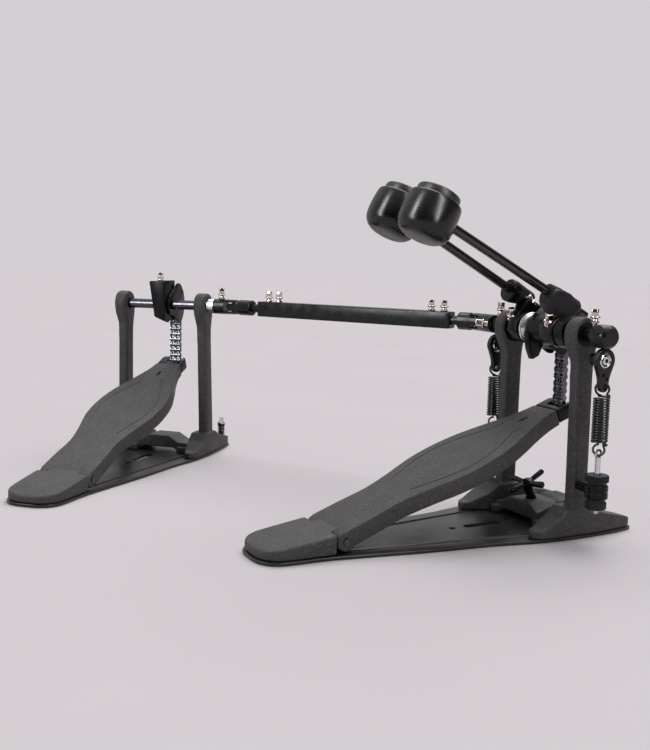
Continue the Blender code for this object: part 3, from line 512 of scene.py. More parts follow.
SKY_SEEN = (0.655, 0.622, 0.648)
SKY_LIGHT = (0.19, 0.182, 0.19)
SUN_POWER = 2.2
SUN_WIDTH = math.radians(55)


def facing(tree, direction, towards, start, end, strength):
    """How far a direction turns towards another, as a smooth band of light."""
    turn = tree.nodes.new("ShaderNodeVectorMath")
    turn.operation = "DOT_PRODUCT"
    turn.inputs[1].default_value = Vector(towards).normalized()
    tree.links.new(direction, turn.inputs[0])
    return spread(tree, turn.outputs["Value"], 0, strength, start, end)


def light():
    """A large soft source overhead, a dim room, and two strips for the edges."""
    world = bpy.data.worlds.new("studio")
    world.use_nodes = True
    tree = world.node_tree
    backdrop = tree.nodes["Background"]
    seen = tree.nodes.new("ShaderNodeLightPath")
    direction = tree.nodes.new("ShaderNodeTexCoord").outputs["Generated"]
    overhead = facing(tree, direction, (0, 0, 1), 0.45, 1.0, 0.95)
    wall = facing(tree, direction, (-0.89, 0.45, 0.05), 0.2, 0.95, 0.5)
    left = facing(tree, direction, (-0.75, -0.62, 0.25), 0.75, 1.0, 0.55)
    total = overhead
    for band in (wall, left):
        both = tree.nodes.new("ShaderNodeMath")
        both.operation = "ADD"
        tree.links.new(total, both.inputs[0])
        tree.links.new(band, both.inputs[1])
        total = both.outputs[0]
    mirrored = mix_colour(tree, total, (0.035, 0.034, 0.037), (1.0, 0.98, 1.0))
    colour = mix_colour(tree, seen.outputs["Is Glossy Ray"], SKY_LIGHT, mirrored)
    colour = mix_colour(tree, seen.outputs["Is Camera Ray"], colour, SKY_SEEN)
    tree.links.new(colour, backdrop.inputs["Color"])
    bpy.context.scene.world = world
    sun = bpy.data.lights.new("overhead", "SUN")
    sun.energy = SUN_POWER
    sun.angle = SUN_WIDTH
    sun.color = (1.0, 0.975, 0.985)
    made = bpy.data.objects.new("overhead", sun)
    bpy.context.scene.collection.objects.link(made)
    made.rotation_euler = Vector((0.25, -0.3, -1.0)).to_track_quat("-Z", "Y").to_euler()
    strip_light("left_strip", (-0.05, -1.32, 0.85), 17.0, (0.97, 0.97, 1.0))
    strip_light("right_strip", (1.21, 0.02, 0.87), 14.0, (1.0, 0.99, 1.0))
    view = bpy.context.scene.view_settings
    view.view_transform = "Standard"
    view.look = "None"


CAMERA_PLACE = (0.65795, -0.5522, 0.23273)
CAMERA_HEADING = math.radians(62.73)
CAMERA_DOWN = math.radians(7.04)
CAMERA_ROLL = math.radians(1.37)
CAMERA_LENS = 45.3
CAMERA_SENSOR = 36


def camera():
    """The photo's camera, solved once and kept fixed."""
    data = bpy.data.cameras.new("camera")
    data.lens = CAMERA_LENS
    data.sensor_width = CAMERA_SENSOR
    made = bpy.data.objects.new("camera", data)
    bpy.context.scene.collection.objects.link(made)
    level = Vector((-math.sin(CAMERA_HEADING), math.cos(CAMERA_HEADING), 0))
    forward = level * math.cos(CAMERA_DOWN) - Vector((0, 0, math.sin(CAMERA_DOWN)))
    right = forward.cross(Vector((0, 0, 1))).normalized()
    up = right.cross(forward)
    rolled_right = right * math.cos(CAMERA_ROLL) + up * math.sin(CAMERA_ROLL)
    rolled_up = up * math.cos(CAMERA_ROLL) - right * math.sin(CAMERA_ROLL)
    turn = Matrix((rolled_right, rolled_up, -forward)).transposed().to_4x4()
    made.matrix_world = Matrix.Translation(CAMERA_PLACE) @ turn
    bpy.context.scene.camera = made


# ---------- one pedal's frame ----------

BASE_HALF = [
    (0, -0.2765), (0.012, -0.2758), (0.0215, -0.2715), (0.0275, -0.2635), (0.0295, -0.252),
    (0.0315, -0.216), (0.044, -0.138), (0.051, -0.078), (0.0585, -0.04), (0.0615, 0),
    (0.06, 0.04), (0.056, 0.066), (0.048, 0.0695), (0.04, 0.066), (0.035, 0.05),
    (0.024, 0.044), (0, 0.044),
]
PLATE = 0.0025
FOOT_BOTTOM = 0.0028


def stadium(x_half, low, high):
    """A slot with round ends that runs along Y."""
    return arc((0, low + x_half), x_half, 180, 360, 9) + arc((0, high - x_half), x_half, 0, 180, 9)


def base_plate(side, place):
    """The pressed sheet with its slot, holes and two stiffening grooves."""
    plate = solid(side + "_base_sheet", prism, both_sides(curved(BASE_HALF, 7)), 0, PLATE)
    plate = round_edges(plate, 0.0006, 2)
    cutters = bmesh.new()
    prism(cutters, stadium(0.0045, -0.0725, -0.0335), -0.001, 0.004)
    rod(cutters, (0, -0.085, -0.001), (0, -0.085, 0.004), 0.003)
    for x in (-0.006, 0.006):
        rod(cutters, (x, -0.0225, -0.001), (x, -0.0225, 0.004), 0.0016)
    for sign in (-1, 1):
        rear = Vector((sign * 0.02, -0.205, PLATE + 0.001))
        front = Vector((sign * 0.042, -0.03, PLATE + 0.001))
        rod(cutters, rear, front, 0.0028, sides=24)
    plate = carve(plate, [to_object("plate_cutters", cutters)])
    plate.data.transform(place)
    return finish_piece(plate, "sheet", side + "_frame", [side + "_base_plate"])


HEEL_HALF = [
    (0, -0.2752), (0.0118, -0.2744), (0.0208, -0.2702), (0.0266, -0.2625), (0.0285, -0.2515),
    (0.0295, -0.2134), (0.0168, -0.2134), (0.0168, -0.1936), (0, -0.1936),
]
HEEL_SLOPE = math.tan(math.radians(8.2))
HEEL_MIDDLE = -0.244
HEEL_HEIGHT = 0.0148


def heel_top(x, y):
    """The height of the heel's sloping top."""
    return HEEL_HEIGHT + (y - HEEL_MIDDLE) * HEEL_SLOPE


def heel_plate(side, place):
    """The wedge under the heel, with the tongue that takes the hinge pin."""
    half = curved(HEEL_HALF[:6], 7) + HEEL_HALF[6:]
    heel = solid(side + "_heel", prism, both_sides(half), PLATE + CLEARANCE, 0, top=heel_top)
    heel = round_edges(heel, 0.0021, 4)
    hole = solid("pin_hole", rod, (-0.04, HINGE.y, HINGE.z), (0.04, HINGE.y, HINGE.z), 0.0033)
    heel = carve(heel, [hole])
    heel.data.transform(place)
    return finish_piece(heel, "cast", side + "_frame", [side + "_heel_plate"])


POSTS = {
    ("main", "right"): (0.0535, 0.0535),
    ("main", "left"): (-0.041, -0.0434),
    ("slave", "right"): (0.05, 0.053),
    ("slave", "left"): (-0.0515, -0.053),
}
POST_BORES = {"main": 0.0102, "slave": 0.0062}
FOOT_INNER = {("main", "left"): 0.0345}
FOOT_INNER_USUAL = 0.0405
HOOD = 0.0143
SHANK_START = 0.006
NECK_HEIGHT = 0.15
FOOT_SIDE = [
    (-0.045, FOOT_BOTTOM), (-0.045, 0.0085), (-0.033, 0.0105), (-0.018, 0.019), (-0.009, 0.027),
    (0.015, 0.027), (0.024, 0.0215), (0.06, 0.0125), (0.072, 0.009), (0.072, FOOT_BOTTOM),
]


def foot_outline(inner):
    """The foot seen from above, on the right; inner is where its inner side lies."""
    return [
        (0.043, -0.03), (0.0462, -0.0385), (0.051, -0.0415), (0.056, -0.0395), (0.06, -0.031),
        (0.0612, 0), (0.0598, 0.036), (0.0555, 0.064), (0.0485, 0.0675), (0.0425, 0.0625),
        (0.0405, 0.044), (inner, 0.03), (inner, -0.012), (0.043, -0.03),
    ]


SHANK = [
    (0.006, 0.0045, 0.0064, 0.008), (0.05, 0.004, 0.0061, 0.0083),
    (0.09, 0.0035, 0.0059, 0.0086), (0.128, 0.003, 0.0057, 0.0088),
    (0.139, 0.0026, 0.0058, 0.009), (0.146, 0.0028, 0.006, 0.0088),
    (0.152, 0.0026, 0.0064, 0.009), (0.158, 0.0016, 0.0068, 0.0108),
    (0.164, 0.0006, 0.0071, 0.0128), (0.17, 0.0001, 0.0072, 0.014),
]


def post_rings(top_x, foot_x):
    """Centre, height and half widths of the upright, from the foot to the hood's top."""
    rows = list(SHANK)
    for degrees in (0, 15, 30, 45, 58, 70, 80, 86):
        angle = math.radians(degrees)
        half_x = 0.0072 - 0.0018 * math.sin(angle) ** 8
        rows.append((SHAFT_HEIGHT + HOOD * math.sin(angle), 0, half_x, HOOD * math.cos(angle)))
    rings = []
    for z, y, half_x, half_y in rows:
        drop = max(0, (NECK_HEIGHT - z) / (NECK_HEIGHT - SHANK_START))
        rings.append((top_x + (foot_x - top_x) * drop, y, z, half_x, half_y))
    return rings


def loft(mesh, rings, sides=56, squareness=0.38):
    """Adds stacked rounded-square rings, each (centre x, centre y, z, half width x, half width y)."""
    loops = []
    for centre_x, centre_y, z, half_x, half_y in rings:
        loop = []
        for i in range(sides):
            angle = 2 * math.pi * (i + 0.5) / sides
            c = math.cos(angle)
            s = math.sin(angle)
            x = centre_x + half_x * math.copysign(abs(c) ** squareness, c)
            y = centre_y + half_y * math.copysign(abs(s) ** squareness, s)
            loop.append(mesh.verts.new((x, y, z)))
        loops.append(loop)
    for lower, upper in zip(loops, loops[1:]):
        for i in range(sides):
            j = (i + 1) % sides
            mesh.faces.new((lower[i], lower[j], upper[j], upper[i]))
    mesh.faces.new(loops[0][::-1])
    mesh.faces.new(loops[-1])


def post(side, hand, place):
    """An upright cast in one with its foot, with a round pocket in both faces of its hood."""
    top_x, foot_x = POSTS[side, hand]
    sign = math.copysign(1, top_x)
    upright = solid(f"{side}_upright_{hand}", loft, post_rings(top_x, foot_x))
    inner = FOOT_INNER.get((side, hand), FOOT_INNER_USUAL)
    outline = [(sign * x, y) for x, y in curved(foot_outline(inner), 6)[:-1]]
    foot = solid("foot", prism, outline, FOOT_BOTTOM, 0.05)
    low, high = sorted((sign * 0.025, sign * 0.075))
    flank = solid("flank", prism, FOOT_SIDE, low, high, YZ_TO_X)
    carve(foot, [flank], "INTERSECT")
    carve(upright, [foot], "UNION")
    as_casting(upright, 0.00085, 4)
    pocket = bmesh.new()
    bore = POST_BORES[side]
    through = SHAFT @ Matrix.Translation((top_x, 0, 0)) @ TO_X
    lathe(pocket, [(bore, -0.02), (bore, 0.02)], through, 48)
    for face in (-1, 1):
        lathe(pocket, [(0.0108, 0.0048 * face), (0.0116, 0.012 * face)], through, 48)
    upright = carve(upright, [to_object("pocket", pocket)])
    upright.data.transform(place)
    return finish_piece(upright, "cast", side + "_frame", [f"{side}_post_{hand}"])


BRIDGE_RISE = {"main": 0.0245, "slave": 0.0125}


def crossbar(side, place):
    """The arched casting between the two feet."""
    right = FOOT_INNER_USUAL - CLEARANCE
    left = FOOT_INNER.get((side, "left"), FOOT_INNER_USUAL) - CLEARANCE
    rise = BRIDGE_RISE[side]
    outline = [(0.019, 0.0075), (0.027, FOOT_BOTTOM), (right, FOOT_BOTTOM), (right, rise)]
    outline += [(0.034, 0.5 * rise + 0.008), (0.025, 0.0145), (0.013, 0.0215), (-0.013, 0.0215)]
    outline += [(-0.025, 0.0145), (-left, 0.0125), (-left, FOOT_BOTTOM), (-0.027, FOOT_BOTTOM)]
    outline += [(-0.019, 0.0075)]
    body = bmesh.new()
    prism(body, outline, -0.0165, 0.0135, XZ_TO_Y)
    box(body, (0.0255, -0.019, 0.0029), (right - 0.0002, 0.021, 0.0098))
    box(body, (-left + 0.0002, -0.019, 0.0029), (-0.0255, 0.021, 0.0098))
    body = as_casting(to_object(side + "_bridge", body), 0.0008, 5)
    if side == "main":
        axis = Vector(JOINTS["clamp_bolt_turn"]["axis"])
        base = pivot("clamp_bolt_turn")
        hole = solid("bolt_hole", rod, base - axis * 0.012, base + axis * 0.03, 0.005)
        carve(body, [hole])
    body.data.transform(place)
    return finish_piece(body, "cast", side + "_frame", [side + "_crossbar"])


# ---------- footboard ----------

BOARD_HALF = [
    (0.0288, 0), (0.0284, 0.027), (0.0272, 0.053), (0.0318, 0.078), (0.0392, 0.106),
    (0.0412, 0.131), (0.0386, 0.156), (0.0316, 0.179), (0.0236, 0.2), (0.0176, 0.219),
    (0.0152, 0.2345),
]


def board_outline(inset):
    """The board seen from above, with its sides moved in by inset."""
    half = [(x - inset, y) for x, y in curved(BOARD_HALF, 10)]
    return both_sides(half)


def engraved_line(sign):
    """One side of the shield engraved on the board, in board coordinates."""
    points = []
    for i in range(33):
        along = i / 32
        width = 0.0125 + 0.019 * math.sin(math.pi * min(1.0, 0.1 + 0.98 * along) ** 1.15)
        points.append((sign * width, 0.072 + 0.124 * along, BOARD_TOP + 0.0002))
    return points


def footboard(side, place):
    """The hollow cast board with rounded edges, hinge ears and an engraved shield."""
    low = BOARD_TOP - BOARD_DEPTH
    board = solid(side + "_board_casting", prism, board_outline(0), low, BOARD_TOP)
    board = round_edges(board, 0.0024, 4)
    hollow = solid("hollow", prism, board_outline(BOARD_WALL), low - 0.01, BOARD_TOP - BOARD_SKIN)
    span = solid("span", box, (-0.05, 0.012, low - 0.02), (0.05, 0.222, 0.02))
    carve(hollow, [span], "INTERSECT")
    carve(board, [hollow])
    ears = []
    for sign in (-1, 1):
        inner, outer = (sign * 0.016, 0, 0), (sign * 0.0284, 0, 0)
        ears.append(solid("ear", rod, inner, outer, BOARD_TOP - 0.0002, sides=48, edge=0.0008))
    ribs = bmesh.new()
    for along in (0.06, 0.105, 0.15, 0.19):
        box(ribs, (-0.0215, along, low + 0.0045), (0.0215, along + 0.0026, BOARD_TOP - 0.003))
    carve(board, ears + [to_object("ribs", ribs)], "UNION")
    cutters = bmesh.new()
    box(cutters, (-0.0176, -0.02, -0.03), (0.0176, 0.0202, 0.03))
    rod(cutters, (-0.04, 0, 0), (0.04, 0, 0), 0.0034)
    box(cutters, (-0.0095, 0.219, -0.03), (0.0095, 0.24, BOARD_TOP - 0.0046))
    prism(cutters, [(x, y + 0.2035) for x, y in stadium(0.0016, 0, 0.01)], -0.02, 0.02)
    carve(board, [to_object("board_cutters", cutters)])
    for sign in (-1, 1):
        line = solid("line", wire, engraved_line(sign), 0.0009, sides=6)
        carve(board, [line])
    board.data.transform(place @ BOARD)
    return finish_piece(board, "cast", side + "_board", [side + "_footboard"], math.radians(30))


def toe_bracket(side, place):
    """The smooth fork at the toe that holds the chain's last link."""
    outline = arc((0.01, 0.249), 0.005, 0, 90, 7) + arc((-0.01, 0.249), 0.005, 90, 180, 7)
    outline += [(-0.015, 0.235), (0.015, 0.235)]
    bracket = solid(side + "_toe_fork", prism, outline, -0.0052, BOARD_TOP)
    bracket = round_edges(bracket, 0.0016, 3)
    tongue = solid("tongue", box, (-0.0088, 0.22, -0.005), (0.0088, 0.24, BOARD_TOP - 0.0052))
    carve(bracket, [tongue], "UNION")
    room = solid("room", box, (CHAIN_X - 0.0086, 0.2405, -0.02), (CHAIN_X + 0.0086, 0.26, 0.02))
    carve(bracket, [room])
    bracket.data.transform(place @ BOARD)
    return finish_piece(bracket, "machined", side + "_board", [side + "_toe_bracket"])


# ---------- chain ----------

CHAIN_X = 0.003
PITCH = 0.00635
CHAIN_PINS = 14
CHAIN_PIN = pivot("main_chain_swing")
PLATE_RADIUS = 0.0027
PLATE_WAIST = 0.0019


def link_plate(mesh, x, upper, lower, thickness):
    """One figure-eight side plate across two pins."""
    middle = (upper + lower) / 2
    outline = arc((0, upper), PLATE_RADIUS, -35, 215, 11) + [(-PLATE_WAIST, middle)]
    outline += arc((0, lower), PLATE_RADIUS, 145, 395, 11) + [(PLATE_WAIST, middle)]
    prism(mesh, outline, x - thickness / 2, x + thickness / 2, YZ_TO_X)


def roller_chain(side, place):
    """A double roller chain from the cam's pin down to the toe."""
    chain = bmesh.new()
    for strand in (-0.0033, 0.0033):
        centre = CHAIN_X + strand
        for i in range(CHAIN_PINS):
            upper = -i * PITCH
            for half, radius, sides in ((0.0015, 0.0021, 20), (0.0033, 0.0011, 14)):
                start, end = (centre - half, 0, upper), (centre + half, 0, upper)
                rod(chain, start, end, radius, sides=sides, edge=0.0002)
            if i == CHAIN_PINS - 1:
                continue
            reach = 0.0019 if i % 2 else 0.00275
            for x in (centre - reach, centre + reach):
                link_plate(chain, x, upper, upper - PITCH, 0.0008)
    chain = to_object(side + "_roller_chain", chain)
    chain.data.transform(place @ Matrix.Translation((0, CHAIN_PIN.y, CHAIN_PIN.z)))
    return finish_piece(chain, "chain", side + "_chain_run", [side + "_chain"])


# ---------- key bolts and small hardware ----------


def key_bolt(mesh, place, height=0.0128):
    """Adds a square-headed key bolt with its flange, standing on local Z = 0."""
    neck = height * 0.36
    head = neck + 0.0014
    nut = arc((0, 0), 0.0037, 0, 300, 6)
    prism(mesh, nut, 0, neck * 0.42, place)
    lathe(mesh, [(0, -0.003), (0.0022, -0.003), (0.0022, neck), (0, neck)], place, 20)
    flange = [(0, neck - 0.0006), (0.0026, neck - 0.0006), (0.0043, neck + 0.0004), (0.0044, neck + 0.0011)]
    lathe(mesh, flange + [(0.0034, head + 0.0003), (0, head + 0.0003)], place, 28)
    half = 0.0027
    cut = 0.0007
    square = [(half - cut, -half), (half, -half + cut), (half, half - cut), (half - cut, half)]
    square += [(-half + cut, half), (-half, half - cut), (-half, -half + cut), (-half + cut, -half)]
    prism(mesh, square, head, height, place)


def standing(x, y, z, turn=20.0):
    """A place on which a bolt stands upright, turned by some degrees."""
    return Matrix.Translation((x, y, z)) @ Matrix.Rotation(math.radians(turn), 4, "Z")


def key_bolts(name, places, body, look="warm", height=0.0128):
    bolts = bmesh.new()
    for place in places:
        key_bolt(bolts, place, height)
    return finish_piece(round_edges(to_object(name, bolts), 0.0003, 2), look, body)


# ---------- springs ----------


def ring_nut_profile(low, high, radius, edge, bore=0.0031):
    outer = [(radius - edge, low), (radius, low + edge), (radius, high - edge), (radius - edge, high)]
    return [(bore, low), *outer, (bore, high)]


TEETH = 60
TOOTH_DEPTH = 0.00035


def knurled(mesh, low, high, radius, place):
    """Adds a knurled ring between two heights."""
    outline = []
    for i in range(TEETH * 2):
        angle = math.pi * i / TEETH
        reach = radius if i % 2 else radius - TOOTH_DEPTH
        outline.append((reach * math.cos(angle), reach * math.sin(angle)))
    prism(mesh, outline, low, high, place)


def coil_spring(hand):
    """The close-wound return spring with a hook at each end."""
    low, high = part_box(hand + "_spring")
    centre = (low + high) / 2
    wire_radius = 0.0009
    radius = high.x - centre.x - wire_radius
    turns = 17.5
    steps = 22
    count = int(turns * steps)
    top = high.z - wire_radius
    bottom = low.z + wire_radius
    points = []
    for i in range(count + 1):
        angle = 2 * math.pi * turns * i / count
        reach = radius * min(1.0, 0.7 + i / 30, 0.7 + (count - i) / 30)
        height = bottom + (top - bottom) * i / count
        points.append((centre.x + reach * math.cos(angle), reach * math.sin(angle), height))
    spring = bmesh.new()
    wire(spring, points, wire_radius, sides=8)
    for start, reach in ((low.z, -0.0088), (high.z, 0.0106)):
        wire(spring, hook_points(centre.x, start, reach), 0.00095, sides=8)
    spring = to_object(hand + "_coil", spring)
    spring.data.materials.append(LOOKS["spring"])
    spring.data.shade_smooth()
    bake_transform(spring)
    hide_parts(hand + "_spring")
    return spring


HOOK_TURN = math.radians(38)


def hook_points(x, start, reach):
    """A wire hook that rises from the coil's rim and loops over at its far end."""
    sign = math.copysign(1, reach)
    half = 0.5 * abs(reach) + 0.0002
    points = [(0.0062, start - sign * 0.0008), (0.006, start + sign * 0.0004)]
    for i in range(25):
        angle = math.radians(-52 + 322 * i / 24)
        points.append((half * math.cos(angle), start + sign * (half + half * math.sin(angle))))
    return [(x + r * math.cos(HOOK_TURN), r * math.sin(HOOK_TURN), z) for r, z in points]


def washer(mesh, low, high, radius, bore, place):
    """Adds a plain ring between two heights."""
    lathe(mesh, [(bore, low), (radius, low), (radius, high), (bore, high)], place, 40, True)


def spring_hardware(hand):
    """The tilting block, eye bolt, knurled tension nut and lock nut under a spring."""
    base = pivot(hand + "_seat_tilt")
    place = Matrix.Translation(base)
    seat = hand + "_seat"
    low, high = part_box(hand + "_spring_block")
    sign, stub_end = (-1, low.x - base.x) if base.x > 0 else (1, high.x - base.x)
    block = bmesh.new()
    lower = [(0.0031, -0.006), (0.0086, -0.006), (0.0095, -0.005), (0.0095, -0.0012), (0.0092, -0.0008)]
    lathe(block, lower + [(radius, -height) for radius, height in reversed(lower)], place, 48, True)
    rod(block, (sign * 0.008, 0, 0), (stub_end, 0, 0), 0.0036, place)
    finish_piece(to_object(hand + "_tilt_block", block), "machined", seat, [hand + "_spring_block"])
    nut = bmesh.new()
    washer(nut, 0.0064, 0.0084, 0.0078, 0.0031, place)
    lathe(nut, ring_nut_profile(0.0083, 0.0095, 0.0098, 0.0005), place, 48, True)
    knurled(nut, 0.0094, 0.0132, 0.0097, place)
    lathe(nut, ring_nut_profile(0.0131, 0.014, 0.0095, 0.0006), place, 48, True)
    finish_piece(to_object(hand + "_knurled_nut", nut), "moulded", hand + "_nut", [hand + "_tension_nut"])
    bolt = bmesh.new()
    rod(bolt, (0, 0, -0.019), (0, 0, 0.029), 0.0023, place, edge=0.0003)
    for i in range(8):
        lathe(bolt, thread(-0.0189 + i * 0.0007), place, 24)
    ring = arc((0, 0.0316), 0.0031, 0, 345, 24)
    wire(bolt, [(0, y, z) for y, z in ring], 0.001, place, 10, True)
    finish_piece(to_object(hand + "_eye_rod", bolt), "chrome", seat, [hand + "_eye_bolt"])
    lock = bmesh.new()
    washer(lock, -0.0064, -0.0084, 0.0076, 0.0024, place)
    lathe(lock, ring_nut_profile(-0.0148, -0.0083, 0.0088, 0.0009, 0.0024), place, 48, True)
    knurled(lock, -0.013, -0.01, 0.0088, place)
    finish_piece(to_object(hand + "_lock_nut", lock), "moulded", seat)


def thread(height):
    """The profile of one ridge of a screw thread."""
    return [(0.002, height), (0.0027, height + 0.0003), (0.002, height + 0.0006)]


def swivel_link(hand):
    """The teardrop link with its bearing, and the socket screw in the crank's pin."""
    centre = pivot(hand + "_link_swing")
    outward = 1 if centre.x > 0 else -1
    place = Matrix.Translation(centre)
    outline = arc((0, 0), 0.0102, -28, 208, 33) + [(-0.0066, -0.0105), (-0.0052, -0.015)]
    outline += arc((0, -0.0215), 0.0045, 180, 360, 17) + [(0.0052, -0.015), (0.0066, -0.0105)]
    link = solid(hand + "_teardrop", prism, outline, -0.0024, 0.0024, place @ YZ_TO_X)
    link = round_edges(link, 0.0009, 3)
    holes = bmesh.new()
    rod(holes, (-0.01, 0, 0), (0.01, 0, 0), 0.0068, place, sides=40)
    rod(holes, (-0.01, 0, -0.0215), (0.01, 0, -0.0215), 0.0022, place)
    for y, z in ((-0.0016, -0.0118), (0.0018, -0.015)):
        rod(holes, (-0.01, y, z), (0.01, y, z), 0.0012, place)
    carve(link, [to_object("holes", holes)])
    finish_piece(link, "barrel", hand + "_link", [hand + "_swivel_link"])
    ring = [(0.004, -0.0022), (0.006, -0.0022), (0.0063, -0.0018), (0.0063, 0.0018)]
    ring += [(0.0058, 0.0025), (0.005, 0.0028), (0.0044, 0.0022), (0.004, 0.0016)]
    bearing = solid(hand + "_race", lathe, ring, place @ TO_X, 48, True)
    finish_piece(bearing, "chrome", hand + "_drive", [hand + "_link_bearing"])
    start = outward * 0.0008
    end = outward * 0.003
    socket = end - outward * 0.0014
    head = [(0, start), (0.0037, start), (0.0037, end - outward * 0.0005), (0.0032, end)]
    head += [(0.0017, end), (0.0015, socket), (0, socket)]
    screw = solid(hand + "_socket_screw", lathe, head, place @ TO_X, 32)
    finish_piece(screw, "chrome", hand + "_drive")


# ---------- beaters ----------


def arm_place(hand):
    """The beater's own frame: local Z along the rod, +Y to the drum, from the shaft's axis."""
    axis = Vector(JOINTS[hand + "_rod_slide"]["axis"])
    lean = math.atan2(-axis.y, axis.z)
    swing = pivot(hand + "_beater_swing")
    return Matrix.Translation(swing) @ Matrix.Rotation(lean, 4, "X")


BEATER_OFFSET = 0.026
BEATER_REACH = 0.162
BELLY = [(0.009, -0.0228), (0.0148, -0.0218), (0.0192, -0.019), (0.022, -0.0146), (0.0231, -0.0085)]
BELLY += [(0.0232, 0), (0.0226, 0.008), (0.022, 0.0106), (0.021, 0.0116)]
PAD_SIDE = [(0.0179, 0.0121), (0.0184, 0.0128), (0.0184, 0.016), (0.018, 0.0178), (0.0166, 0.0186)]
PAD_CROWN = [(0.012, 0.01895), (0.006, 0.0191), (0, 0.0191)]


def on_rod(height):
    """A point of the beater rod's axis, in the beater's own frame."""
    return (0, BEATER_OFFSET, height)


def beater(hand):
    """The rod, the turned barrel and its pad."""
    place = arm_place(hand)
    body = hand + "_beater"
    low, high = on_rod(-0.024), on_rod(BEATER_REACH + 0.012)
    bar = solid(hand + "_rod", rod, low, high, 0.004, place, sides=40, edge=0.0006)
    finish_piece(bar, "gloss", body, [hand + "_beater_rod"])
    to_drum = place @ Matrix.Translation(on_rod(BEATER_REACH)) @ Matrix.Rotation(-math.radians(90), 4, "X")
    side = [(0, -0.023), *curved(BELLY, 5), (0.0184, 0.0118), (0, 0.0118)]
    head = solid(hand + "_barrel", lathe, side, to_drum, 96)
    low, high = on_rod(BEATER_REACH - 0.05), on_rod(BEATER_REACH + 0.0125)
    carve(head, [solid("hole", rod, low, high, ROD_BORE, place)])
    finish_piece(head, "barrel", body, [hand + "_beater_head"])
    side = [(0, 0.0121), *curved(PAD_SIDE, 5), *PAD_CROWN]
    pad = solid(hand + "_pad", lathe, side, to_drum, 96)
    finish_piece(pad, "face", body, [hand + "_beater_face"])


# ---------- shafts, cap, link ----------


def right_crank():
    """The collar beyond the right post, with the arm and pin that carry the spring's link."""
    pin = pivot("right_link_swing")
    drop = pin.z - SHAFT_HEIGHT
    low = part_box("right_crank")[0].x
    side = [(0, low), (0.0096, low), (0.0104, low + 0.0008)]
    for i in range(5):
        start = low + 0.0024 + i * 0.0012
        side += [(0.0104, start), (0.0099, start + 0.0003)]
        side += [(0.0099, start + 0.0006), (0.0104, start + 0.0009)]
    side += [(0.0104, 0.0722), (0.0098, 0.073), (0, 0.073)]
    collar = solid("right_collar", lathe, side, SHAFT @ TO_X, 72)
    arm = bmesh.new()
    outline = arc((0, 0), 0.0098, -10, 190, 33) + [(-0.0088, -0.01)]
    outline += arc((0, drop), 0.0058, 200, 340, 17) + [(0.0088, -0.01)]
    prism(arm, outline, 0.0684, 0.0728, SHAFT @ YZ_TO_X)
    box(arm, (0.069, -0.0068, -0.0128), (0.0788, 0.006, -0.0096), SHAFT)
    arm = to_object("arm", arm)
    peg = bmesh.new()
    rod(peg, (0.069, 0, drop), (0.0792, 0, drop), 0.0052, SHAFT, edge=0.0006)
    rod(peg, (0.07, 0, drop), (0.0848, 0, drop), 0.0037, SHAFT, edge=0.0003)
    carve(collar, [arm, to_object("peg", peg)], "UNION")
    bore = solid("bore", rod, (0.05, 0, 0), (0.09, 0, 0), SHAFT_RADIUS + CLEARANCE, SHAFT)
    carve(collar, [bore])
    finish_piece(round_edges(collar, 0.0004, 2), "machined", "right_drive", ["right_crank"])


CAP_START = 0.0735
CAP_LENGTH = 0.0165
CAP_RADIUS = 0.0108
CAP_CROWN = [(CAP_RADIUS, 0.4), (0.0104, 0.6), (0.0094, 0.82), (0.0072, 0.98)]


def end_cap():
    """The domed hexagonal cap on the main shaft's end."""
    place = Matrix.Translation((CAP_START, 0, SHAFT_HEIGHT)) @ TO_X
    hexagon = solid("hex_cap", prism, arc((0, 0), CAP_RADIUS, 30, 330, 6), 0, CAP_LENGTH, place)
    hexagon = round_edges(hexagon, 0.0004, 2)
    crown = curved([(radius, CAP_LENGTH * share) for radius, share in CAP_CROWN], 6)
    side = [(0, -0.001), (0.01, -0.001), (CAP_RADIUS, 0.0012), *crown, (0, CAP_LENGTH - 0.0001)]
    dome = solid("dome", lathe, side, place, 96)
    carve(hexagon, [dome], "INTERSECT")
    finish_piece(hexagon, "barrel", "right_drive", ["right_end_cap"], math.radians(18))


def wing_bolt():
    """The winged head of the clamp bolt, and its screw with its sleeve."""
    axis = Vector(JOINTS["clamp_bolt_turn"]["axis"])
    base = pivot("clamp_bolt_turn")
    place = Matrix.Translation(base) @ axis.to_track_quat("Z", "X").to_matrix().to_4x4()
    body = bmesh.new()
    lathe(body, [(0, 0.0306), (0.0044, 0.0302), (0.0056, 0.0284), (0.005, 0.025), (0, 0.025)], place, 40)
    across = Vector((1, 0, 0)) - axis * axis.x
    forward = axis.cross(across)
    for i in range(4):
        angle = math.radians(4 + 90 * i)
        reach = across * math.cos(angle) + forward * math.sin(angle)
        blade = 0.0031 if i == 0 else 0.0026
        tip = base + axis * 0.0292 + reach * 0.0205
        rod(body, base + axis * 0.0268, tip, 0.0021, end_radius=blade, edge=0.0009)
    body = as_casting(to_object("wing_head", body), 0.0005, 5)
    finish_piece(body, "wing", "clamp_bolt", ["hoop_clamp_bolt"], math.radians(60))
    side = [(0, 0.0066), (0.004, 0.0066), (0.0045, 0.0072), (0.0045, 0.016), (0.004, 0.0168)]
    side += [(0.004, 0.0176), (0.0046, 0.0184), (0.0046, 0.0262), (0.004, 0.0268), (0, 0.0268)]
    shank = solid("clamp_screw", lathe, side, place, 40)
    finish_piece(shank, "wing", "clamp_bolt", (), math.radians(30))


def leaning(base, towards, turn=20.0):
    """A place at a point, with local Z along a direction."""
    lift = Vector(towards).to_track_quat("Z", "Y").to_matrix().to_4x4()
    return Matrix.Translation(base) @ lift @ Matrix.Rotation(math.radians(turn), 4, "Z")


